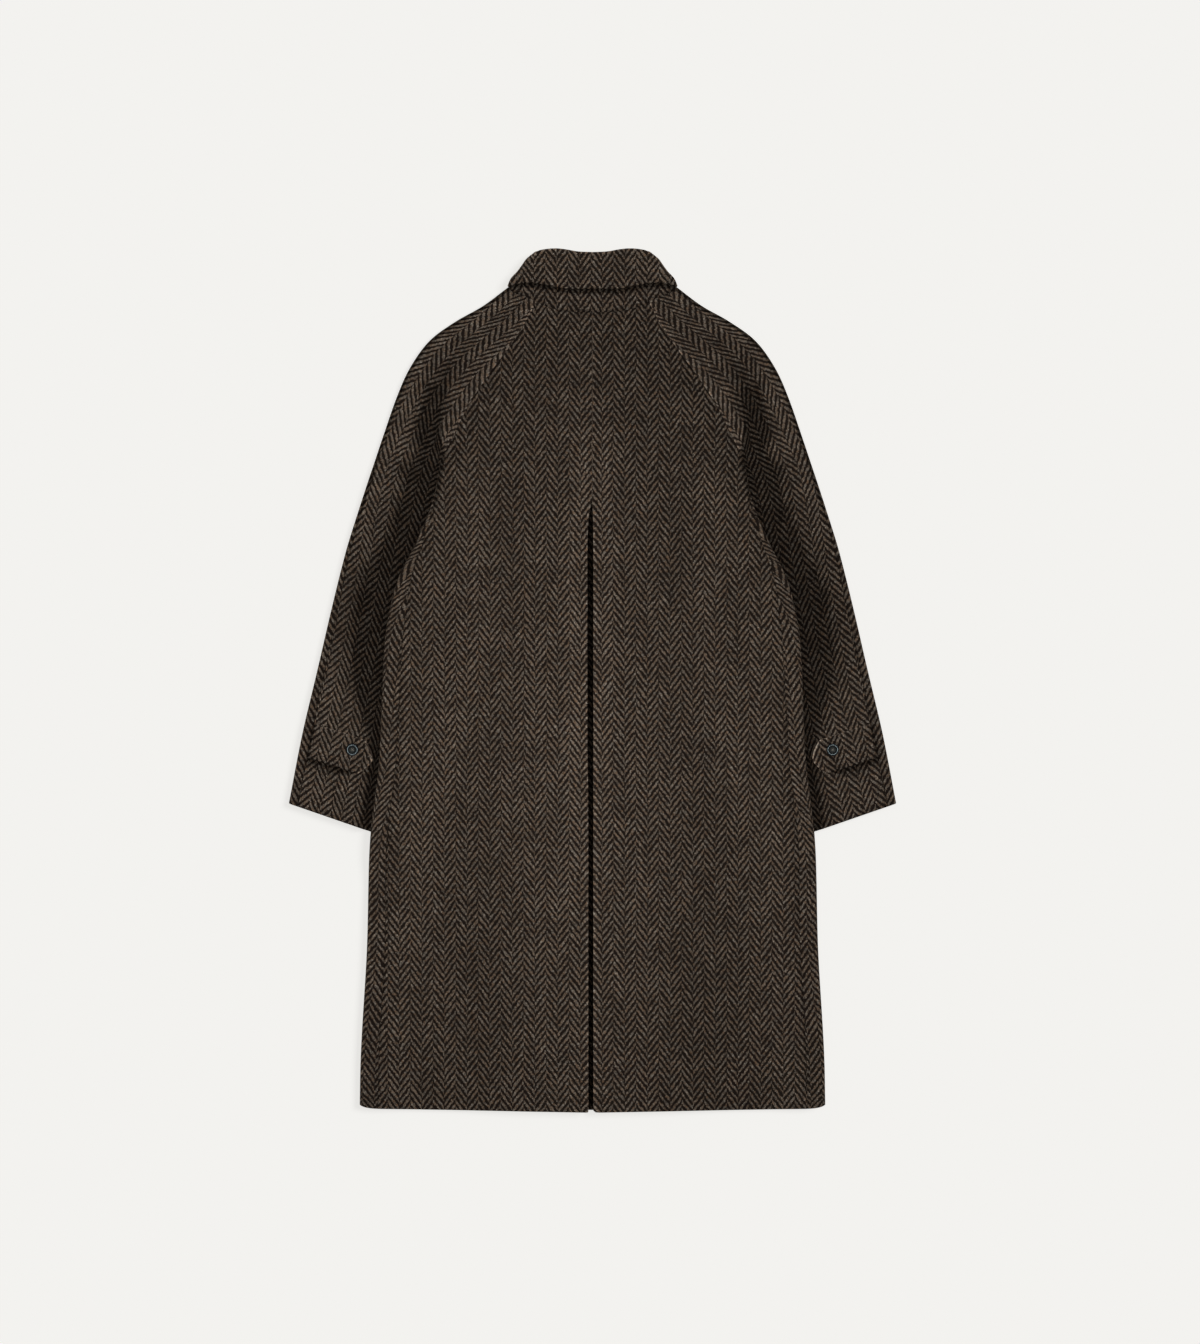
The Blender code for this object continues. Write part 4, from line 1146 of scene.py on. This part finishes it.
def leaf_grid():
    u = collar_stations()
    roll, down, inward, depth = collar_frame(u)
    columns = []
    for share in np.linspace(1, LEAF_TOP_SHARE, LEAF_STEPS):
        bow = through(COLLAR_BOW_PLACES, COLLAR_BOWS, np.array(share)) * np.abs(inward[:, :1])
        columns.append(roll + down * between(COLLAR_ROLL, depth, share) - inward * bow)
    for angle in np.linspace(0, math.pi, LEAF_ROLL_STEPS):
        out = COLLAR_ROLL * (1 - np.sin(angle))
        columns.append(roll + down * out + inward * COLLAR_ROLL * (1 - np.cos(angle)))
    for depth_inside in np.linspace(0, COLLAR_SEAM_DEPTH, LEAF_INSIDE_STEPS)[1:]:
        columns.append(roll + down * (COLLAR_ROLL + depth_inside) + inward * 2 * COLLAR_ROLL)
    points = np.stack(columns, axis=1)
    length = lengths_along(points, 1)
    top = LEAF_STEPS - 1
    rolled = -points[:, top : top + 1, 1] + length - length[:, top : top + 1]
    outside = np.arange(points.shape[1]) < LEAF_STEPS
    return collar_point(u, points, np.where(outside, -points[:, :, 1], rolled))


leaf = cloth_piece("collar_leaf", [(leaf_grid(), ALL_BORDERS)], tweed)

# %% The stand
STAND_STEPS = 15
STAND_SHIFT = 0.0031
NECK_ALLOWANCE = ((0.0012, 0.0012), (0.0030, 0.0032), (0.0080, 0.0036))


def stand_grid():
    u = collar_stations()
    roll, down, inward, _ = collar_frame(u)
    top = roll + down * (COLLAR_ROLL + COLLAR_SEAM_DEPTH + COLLAR_SEAM_GAP) + inward * 2 * COLLAR_ROLL
    bottom, _ = neck_ring(NECK_SEAM, np.abs(u))
    way = (bottom - top) / np.linalg.norm(bottom - top, axis=1, keepdims=True)
    steps = [between(top, bottom, share) for share in np.linspace(0, 1, STAND_STEPS)]
    for out, under in NECK_ALLOWANCE:
        steps.append(bottom + way * out + inward * under)
    points = np.stack(steps, axis=1)
    return collar_point(u, points, STAND_SHIFT - points[:, :, 1])


stand = cloth_piece("collar_stand", [(stand_grid(), ALL_BORDERS)], tweed)

# %% [markdown]
# ## Cuff straps
#
# Each cuff has a strap with a pointed end, held by a button. A flat strap could be pressed onto the
# sleeve with a Shrinkwrap modifier. Here it is worked out from the sleeve's own rows, moved out by one
# layer of cloth, so it keeps the sleeve's slant and needs no modifier.

# %% The straps
STRAP_ROWS = (12.80, 13.31)
STRAP_ACROSS = (0.045, 0.524)
STRAP_POINT = 0.105
STRAP_ROUNDING = 1.6
STRAP_TIP_LIFT = 0.0015
STRAP_TIP_RISES = (0.35, 0.65)
STRAP_LINES = 21
STRAP_COLUMNS = 41
STRAP_STRIPE = 0.0052
STRAP_SHIFT = 0.0037


def strap_lift(across):
    """How far the middle of the strap's cloth lies above the middle of the sleeve's."""
    return CLOTH / 2 + GAP + STRAP_CLOTH / 2 + STRAP_TIP_LIFT * eased(across, *STRAP_TIP_RISES)


def strap_grid(side):
    share = np.linspace(0, 1, STRAP_LINES)[:, None]
    row = between(*STRAP_ROWS, share)
    end = STRAP_ACROSS[1] + STRAP_POINT * (1 - np.abs(2 * share - 1) ** STRAP_ROUNDING)
    across = between(STRAP_ACROSS[0], end, np.linspace(0, 1, STRAP_COLUMNS)[None, :])
    x, drop, _ = sleeve_back_point(row, across)
    z = sleeve_outer_z(row) + strap_lift(across)
    over, along = along_threads(row, x, drop, z)
    return placed(side, x, drop, z, -side * (over + STRAP_STRIPE), along + STRAP_SHIFT)


straps = {}
for side, word in SIDES.items():
    straps[side] = cloth_piece(f"cuff_strap_{word}", [(strap_grid(side), ALL_BORDERS)], tweed, STRAP_CLOTH)

# %% [markdown]
# ## Buttons
#
# The buttons are dark polished horn, turned with a raised rim round a dished middle, with four holes.
# A profile spun round an axis is how a lathe makes them, and Blender's spin does the same. The holes
# are cut through with a Boolean. The thread that holds the button comes up through one hole and goes
# down through the opposite one, twice, so it makes a small cross. It is a curve with a round bevel.

# %% The horn material
HORN_BLUE = (0.006, 0.009, 0.012, 1.0)
HORN_BROWN = (0.012, 0.009, 0.007, 1.0)
HORN_STREAKS = (900.0, 220.0, 300.0)
BUTTON_RADIUS = 0.0085
MATT_MIDDLE = (0.50, 0.64)


def horn_material():
    made = bpy.data.materials.new("polished_horn")
    made.use_nodes = True
    tree = made.node_tree
    shader = tree.nodes["Principled BSDF"]
    place = add_node(tree, "ShaderNodeTexCoord").outputs["Object"]
    streak = add_node(tree, "ShaderNodeMapping")
    tree.links.new(place, streak.inputs["Vector"])
    streak.inputs["Scale"].default_value = HORN_STREAKS
    noise = add_node(tree, "ShaderNodeTexNoise")
    noise.inputs["Scale"].default_value = 1.0
    noise.inputs["Detail"].default_value = 3.0
    tree.links.new(streak.outputs["Vector"], noise.inputs["Vector"])
    split = add_node(tree, "ShaderNodeSeparateXYZ")
    tree.links.new(place, split.inputs[0])
    squares = [math_node(tree, "POWER", split.outputs[axis], 2.0) for axis in ("X", "Y")]
    radius = math_node(tree, "SQRT", math_node(tree, "ADD", *squares))
    polished = ramp_node(tree, radius, *(share * BUTTON_RADIUS for share in MATT_MIDDLE))
    brown = ramp_node(tree, math_node(tree, "SUBTRACT", noise.outputs["Fac"], polished), -0.40, 0.40)
    tree.links.new(mix_colours(tree, brown, HORN_BLUE, HORN_BROWN), shader.inputs["Base Color"])
    tree.links.new(ramp_node(tree, polished, 0.0, 1.0, 0.62, 0.24), shader.inputs["Roughness"])
    tree.links.new(math_node(tree, "MULTIPLY", polished, 0.5), shader.inputs["Coat Weight"])
    shader.inputs["Coat Roughness"].default_value = 0.14
    return made


horn = horn_material()
print("material:", horn.name)

# %% A turned button with four holes
BUTTON_HEIGHT = 0.0040
BUTTON_STEPS = 64
BUTTON_HOLE_RADIUS = 0.0010
BUTTON_HOLE_OFFSET = 0.0019
HOLE_STEPS = 20
SAME_POINT = 1e-6
SHARP_EDGE = math.radians(50)
HOLE_ANGLES = [math.pi / 4 + i * math.pi / 2 for i in range(4)]
BUTTON_PROFILE = (
    (0.0, 0.28), (0.20, 0.32), (0.40, 0.42), (0.52, 0.56), (0.60, 0.74), (0.67, 0.91), (0.74, 1.0),
    (0.80, 0.97), (0.87, 0.85), (0.94, 0.66), (0.99, 0.48), (1.0, 0.38), (0.98, 0.25), (0.92, 0.12),
    (0.80, 0.03), (0.60, 0.0), (0.0, 0.0),
)


def button_mesh(name):
    form = bmesh.new()
    points = [form.verts.new((r * BUTTON_RADIUS, 0.0, h * BUTTON_HEIGHT)) for r, h in BUTTON_PROFILE]
    for a, b in zip(points, points[1:]):
        form.edges.new((a, b))
    bmesh.ops.spin(form, geom=form.verts[:] + form.edges[:], angle=2 * math.pi, steps=BUTTON_STEPS,
                   axis=(0, 0, 1), cent=(0, 0, 0), use_merge=True)
    bmesh.ops.remove_doubles(form, verts=form.verts, dist=SAME_POINT)
    bmesh.ops.recalc_face_normals(form, faces=form.faces)
    mesh = bpy.data.meshes.new(name)
    form.to_mesh(mesh)
    form.free()
    return mesh


def hole_cutter():
    form = bmesh.new()
    for angle in HOLE_ANGLES:
        made = bmesh.ops.create_cone(form, cap_ends=True, segments=HOLE_STEPS, radius1=BUTTON_HOLE_RADIUS,
                                     radius2=BUTTON_HOLE_RADIUS, depth=3 * BUTTON_HEIGHT)
        way = (BUTTON_HOLE_OFFSET * math.cos(angle), BUTTON_HOLE_OFFSET * math.sin(angle), 0.0)
        bmesh.ops.translate(form, verts=made["verts"], vec=way)
    mesh = bpy.data.meshes.new("button_holes")
    form.to_mesh(mesh)
    form.free()
    cutter = bpy.data.objects.new("button_holes", mesh)
    bpy.context.scene.collection.objects.link(cutter)
    return cutter


def cut_button(name, finish):
    """A button at the origin with its holes cut, its modifier applied."""
    button = bpy.data.objects.new(name, button_mesh(name))
    bpy.context.scene.collection.objects.link(button)
    cutter = hole_cutter()
    cut = button.modifiers.new("holes", "BOOLEAN")
    cut.operation = "DIFFERENCE"
    cut.object = cutter
    bpy.context.view_layer.update()
    shaped = bpy.data.meshes.new_from_object(button.evaluated_get(bpy.context.evaluated_depsgraph_get()))
    button.modifiers.clear()
    button.data = shaped
    bpy.data.objects.remove(cutter)
    shaped.shade_smooth()
    shaped.set_sharp_from_angle(angle=SHARP_EDGE)
    shaped.materials.clear()
    shaped.materials.append(finish)
    return button


print("button", 2 * BUTTON_RADIUS * 1000, "mm across, with", len(HOLE_ANGLES), "holes")

# %% The buttons on their straps
BUTTON_ROW = 13.0
BUTTON_ACROSS = 0.433
BUTTON_GAP = 3 * GAP


def button_place(side):
    x, drop, _ = sleeve_back_point(np.array([[BUTTON_ROW]]), np.array([[BUTTON_ACROSS]]))
    z = sleeve_outer_z(BUTTON_ROW) + strap_lift(BUTTON_ACROSS) + STRAP_CLOTH / 2 + BUTTON_GAP
    return (side * x.item(), CENTRE_DROP - drop.item(), float(z))


buttons = {}
for side, word in SIDES.items():
    buttons[side] = cut_button(f"cuff_button_{word}_horn", horn)
    buttons[side].location = button_place(side)
    print(buttons[side].name, len(buttons[side].data.polygons), "faces")

# %% The thread that holds a button
THREAD_RADIUS = 0.0005
THREAD_RISE = 0.0010
STRAND_POINTS = 13
THREAD_LIGHT = (0.34, 0.27, 0.22, 1.0)
THREAD_DARK = (0.10, 0.075, 0.055, 1.0)
THREAD_FLECKS = 1500.0


def thread_material():
    made = bpy.data.materials.new("button_thread")
    made.use_nodes = True
    tree = made.node_tree
    shader = tree.nodes["Principled BSDF"]
    place = add_node(tree, "ShaderNodeTexCoord").outputs["Object"]
    flecks = noise_node(tree, place, THREAD_FLECKS)
    tree.links.new(mix_colours(tree, flecks, THREAD_DARK, THREAD_LIGHT), shader.inputs["Base Color"])
    shader.inputs["Roughness"].default_value = 0.8
    return made


def button_thread(name, finish):
    """Two crossed strands at the origin, the second over the first, down through the four holes."""
    curve = bpy.data.curves.new(name, "CURVE")
    curve.dimensions = "3D"
    curve.bevel_depth = THREAD_RADIUS
    curve.use_fill_caps = True
    dish = BUTTON_PROFILE[0][1] * BUTTON_HEIGHT
    for turn, rise in zip(HOLE_ANGLES, (THREAD_RISE, THREAD_RISE + 2 * THREAD_RADIUS)):
        strand = curve.splines.new("POLY")
        strand.points.add(STRAND_POINTS - 1)
        for point, angle in zip(strand.points, np.linspace(0, math.pi, STRAND_POINTS)):
            out = BUTTON_HOLE_OFFSET * math.cos(angle)
            height = (dish + rise) * math.sin(angle)
            point.co = (out * math.cos(turn), out * math.sin(turn), height, 1.0)
    drawn = bpy.data.objects.new(name, curve)
    mesh = bpy.data.meshes.new_from_object(drawn)
    bpy.data.objects.remove(drawn)
    mesh.materials.clear()
    mesh.materials.append(finish)
    mesh.shade_smooth()
    made = bpy.data.objects.new(name, mesh)
    bpy.context.scene.collection.objects.link(made)
    return made


thread = thread_material()
button_threads = {}
for side, word in SIDES.items():
    button_threads[side] = button_thread(f"cuff_button_{word}_thread", thread)
    button_threads[side].location = button_place(side)
    print(button_threads[side].name, len(button_threads[side].data.polygons), "faces")

# %% [markdown]
# ## Putting each piece on the body in place of its solid
#
# Every piece rides on the coat's one body, and each but the buttons' thread takes the place of a solid,
# which is hidden. For a cloth piece, the area of its sheet as built is printed beside that of the cut it was
# made from. The cuts count only the sheets made here, with their turnings at the pleat, the sides, the seams
# and the collar, and not the hems and facings that a tailor would add.

Cut = namedtuple("Cut", "width length area held rests_on")
CUTS = {
    "back": Cut(0.375, 1.100, 0.3145, "folded", ["front_left", "front_right"]),
    "front": Cut(0.420, 1.060, 0.3460, "laid", ["studio_floor"]),
    "sleeve_back": Cut(0.175, 0.830, 0.1010, "laid", ["studio_floor"]),
    "sleeve_front": Cut(0.175, 0.830, 0.1030, "laid", ["studio_floor"]),
    "cuff_strap": Cut(0.050, 0.095, 0.0040, "laid", ["sleeve_back_left", "sleeve_back_right"]),
}
PLEAT_CUT = Cut(0.116, 0.8425, 0.0977, "laid", ["front_left", "front_right"])
LEAF_CUT = Cut(0.080, 0.460, 0.0253, "folded", ["collar_stand"])
STAND_CUT = Cut(0.080, 0.400, 0.0273, "folded", ["front_left", "front_right"])


def declare(piece, node, cut):
    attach(piece, "root")
    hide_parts(node)
    area = sum(face.area for face in piece.data.polygons) / 2
    print(node, "cloth area", round(area, 4), "of a cut of", cut.area)


pairs = {"back": back_panels, "front": fronts, "sleeve_back": sleeve_backs,
         "sleeve_front": sleeve_fronts, "cuff_strap": straps}
for kind, pieces in pairs.items():
    for side, word in SIDES.items():
        declare(pieces[side], f"{kind}_{word}", CUTS[kind])
declare(underlay, "pleat_underlay", PLEAT_CUT)
declare(leaf, "collar_leaf", LEAF_CUT)
declare(stand, "collar_stand", STAND_CUT)

for side, word in SIDES.items():
    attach(buttons[side], "root")
    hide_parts(f"cuff_button_{word}")
    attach(button_threads[side], "root")
    print("declared", buttons[side].name, "and", button_threads[side].name)

# %% [markdown]
# ## The floor
#
# The coat lies on a plain pale floor. Lamps bright enough for dark tweed would leave hard shadows on a
# floor so pale, so it gets little light, and glows by itself as a light table does.

# %% The floor
FLOOR_COLOUR = (0.60, 0.594, 0.580, 1.0)
FLOOR_GLOW = (1.0, 0.992, 0.9655, 1.0)
FLOOR_GLOW_STRENGTH = 0.752
FLOOR_REACH = 8.0


def floor_material():
    made = bpy.data.materials.new("pale_floor")
    made.use_nodes = True
    shader = made.node_tree.nodes["Principled BSDF"]
    shader.inputs["Base Color"].default_value = FLOOR_COLOUR
    shader.inputs["Roughness"].default_value = 0.9
    shader.inputs["Specular IOR Level"].default_value = 0.0
    shader.inputs["Emission Color"].default_value = FLOOR_GLOW
    shader.inputs["Emission Strength"].default_value = FLOOR_GLOW_STRENGTH
    return made


def floor():
    mesh = bpy.data.meshes.new("studio_floor")
    corners = [(-1, -1), (1, -1), (1, 1), (-1, 1)]
    mesh.from_pydata([(x * FLOOR_REACH, y * FLOOR_REACH, 0.0) for x, y in corners], [], [(0, 1, 2, 3)])
    mesh.materials.append(floor_material())
    made = bpy.data.objects.new("studio_floor", mesh)
    bpy.context.scene.collection.objects.link(made)
    made.location.z = -GAP
    return made


studio_floor = floor()
print("floor", 2 * FLOOR_REACH, "m across")

# %% [markdown]
# ## The lights
#
# Dark cloth shows its form only in light that rakes over it. A low lamp on each side lights the half of
# the coat that is further from it, so that each sleeve loses its light beside the body's raised edge.
# The body's sides and the fronts of the sleeves have a higher lamp on their own side, the collar and the
# buttons have their own, and wide lamps overhead fill in. The open pleat is left to the world's weak
# light. A sun that reaches the floor alone gives the faint shadow to the left of the coat and below it.
# One set of lamps for everything could not do this, so Blender's light linking keeps each lamp to its
# own pieces, as flags do in a studio.

# %% Making and aiming a light
AIM = (0.0, 0.0, 0.0)
Lamp = namedtuple("Lamp", "x y z width height power")


def aimed(place, target):
    """The turn that points a light, which looks along -Z, from a place at a target."""
    return (Vector(target) - Vector(place)).to_track_quat("-Z", "Y")


def area_light(name, lamp, side, target):
    """A soft rectangular light on one side of the coat, aimed at a target."""
    place = (side * lamp.x, lamp.y, lamp.z)
    data = bpy.data.lights.new(name, "AREA")
    data.shape = "RECTANGLE"
    data.size, data.size_y = lamp.width, lamp.height
    data.energy = lamp.power
    made = bpy.data.objects.new(name, data)
    bpy.context.scene.collection.objects.link(made)
    made.location = place
    made.rotation_mode = "QUATERNION"
    made.rotation_quaternion = aimed(place, target)
    made.visible_camera = False
    return made


def group_of(name, pieces):
    group = bpy.data.collections.new(name)
    for piece in pieces:
        group.objects.link(piece)
    return group


def lit_only(light, pieces, shaded_by=None):
    """Keeps a light to some pieces, and its shadows to some others, as flags beside a lamp do."""
    light.light_linking.receiver_collection = group_of(light.name + "_lights", pieces)
    if shaded_by:
        light.light_linking.blocker_collection = group_of(light.name + "_shades", shaded_by)


def floor_sun(power, way, spread):
    """Light from far off on the floor alone, for the soft shadow beside the coat."""
    data = bpy.data.lights.new("floor_sun", "SUN")
    data.energy = power
    data.angle = spread
    made = bpy.data.objects.new("floor_sun", data)
    bpy.context.scene.collection.objects.link(made)
    made.rotation_mode = "QUATERNION"
    made.rotation_quaternion = aimed(way, AIM)
    return made


print("light helpers ready")

# %% The lamps and what each one lights
SLEEVE_LAMP = Lamp(2.25, 0.05, 0.45, 0.9, 0.30, 220.0)
BODY_LAMP = Lamp(2.00, -0.35, 0.92, 0.8, 0.6, 56.0)
EDGE_LAMP = Lamp(1.20, 0.10, 1.70, 0.6, 0.6, 18.0)
COLLAR_LAMP = Lamp(0.80, 2.10, 1.15, 0.6, 0.4, 22.0)
BUTTON_LAMP = Lamp(0.30, -0.10, 2.50, 0.8, 0.8, 46.0)
BUTTON_LAMP_TINT = (0.80, 0.97, 1.0)
SLEEVE_FILL = Lamp(0.0, 0.0, 1.6, 7.0, 7.0, 48.0)
BODY_FILL = Lamp(0.0, 0.0, 1.6, 7.0, 7.0, 29.0)
SOFT_BOX = Lamp(0.0, -0.09, 0.65, 0.6, 0.6, 1.95)
FLOOR_SUN_POWER = 0.74
FLOOR_SUN_WAY = (0.64, 0.27, 0.72)
FLOOR_SUN_SPREAD = math.radians(25)

collar = [leaf, stand]
body = [*back_panels.values(), *fronts.values()]
sleeves = [*sleeve_backs.values(), *sleeve_fronts.values(), *straps.values()]
cloth = [*body, *sleeves, *collar, underlay]
for side, word in SIDES.items():
    far_sleeve = [sleeve_backs[-side], straps[-side]]
    lit_only(area_light(f"sleeve_lamp_{word}", SLEEVE_LAMP, side, AIM), far_sleeve, cloth)
    lit_only(area_light(f"body_lamp_{word}", BODY_LAMP, side, AIM), [back_panels[-side]])
    lit_only(area_light(f"edge_lamp_{word}", EDGE_LAMP, side, AIM), [fronts[side], sleeve_fronts[side]])
    lit_only(area_light(f"collar_lamp_{word}", COLLAR_LAMP, side, AIM), collar)
    button_lamp = area_light(f"button_lamp_{word}", BUTTON_LAMP, side, buttons[side].location)
    button_lamp.data.color = BUTTON_LAMP_TINT
    lit_only(button_lamp, [buttons[side], button_threads[side]])
lit_only(area_light("sleeve_fill", SLEEVE_FILL, 1, AIM), [*sleeves, *collar])
lit_only(area_light("body_fill", BODY_FILL, 1, AIM), body)
lit_only(area_light("soft_box", SOFT_BOX, 1, (0.0, SOFT_BOX.y, 0.0)), body)
lit_only(floor_sun(FLOOR_SUN_POWER, FLOOR_SUN_WAY, FLOOR_SUN_SPREAD), [studio_floor])

# %% The weak light all round
WORLD_COLOUR = (1.0, 0.99, 0.97, 1.0)
WORLD_LIGHT = 0.07

world = bpy.data.worlds.new("studio")
world.use_nodes = True
background = world.node_tree.nodes["Background"]
background.inputs["Color"].default_value = WORLD_COLOUR
background.inputs["Strength"].default_value = WORLD_LIGHT
bpy.context.scene.world = world
bpy.context.scene.view_settings.view_transform = "Standard"
print("world light:", WORLD_LIGHT)

# %% [markdown]
# ## The camera
#
# The coat is looked at from straight above. The camera hangs high with a long lens, so that the raised
# parts hardly lean outwards, and its lens follows from the height of the picture in metres.

# %% The camera
VIEW_CENTRE = (0.0101, 0.0115)
VIEW_HEIGHT = 1.8144
CAMERA_HEIGHT = 7.0
SENSOR_HEIGHT = 36.0
FAR_LIMIT = 50.0

camera_data = bpy.data.cameras.new("camera")
camera_data.sensor_fit = "VERTICAL"
camera_data.sensor_height = SENSOR_HEIGHT
camera_data.lens = SENSOR_HEIGHT * CAMERA_HEIGHT / VIEW_HEIGHT
camera_data.clip_end = FAR_LIMIT
camera = bpy.data.objects.new("camera", camera_data)
bpy.context.scene.collection.objects.link(camera)
camera.location = (*VIEW_CENTRE, CAMERA_HEIGHT)
bpy.context.scene.camera = camera
print("lens:", round(camera_data.lens, 1), "mm")
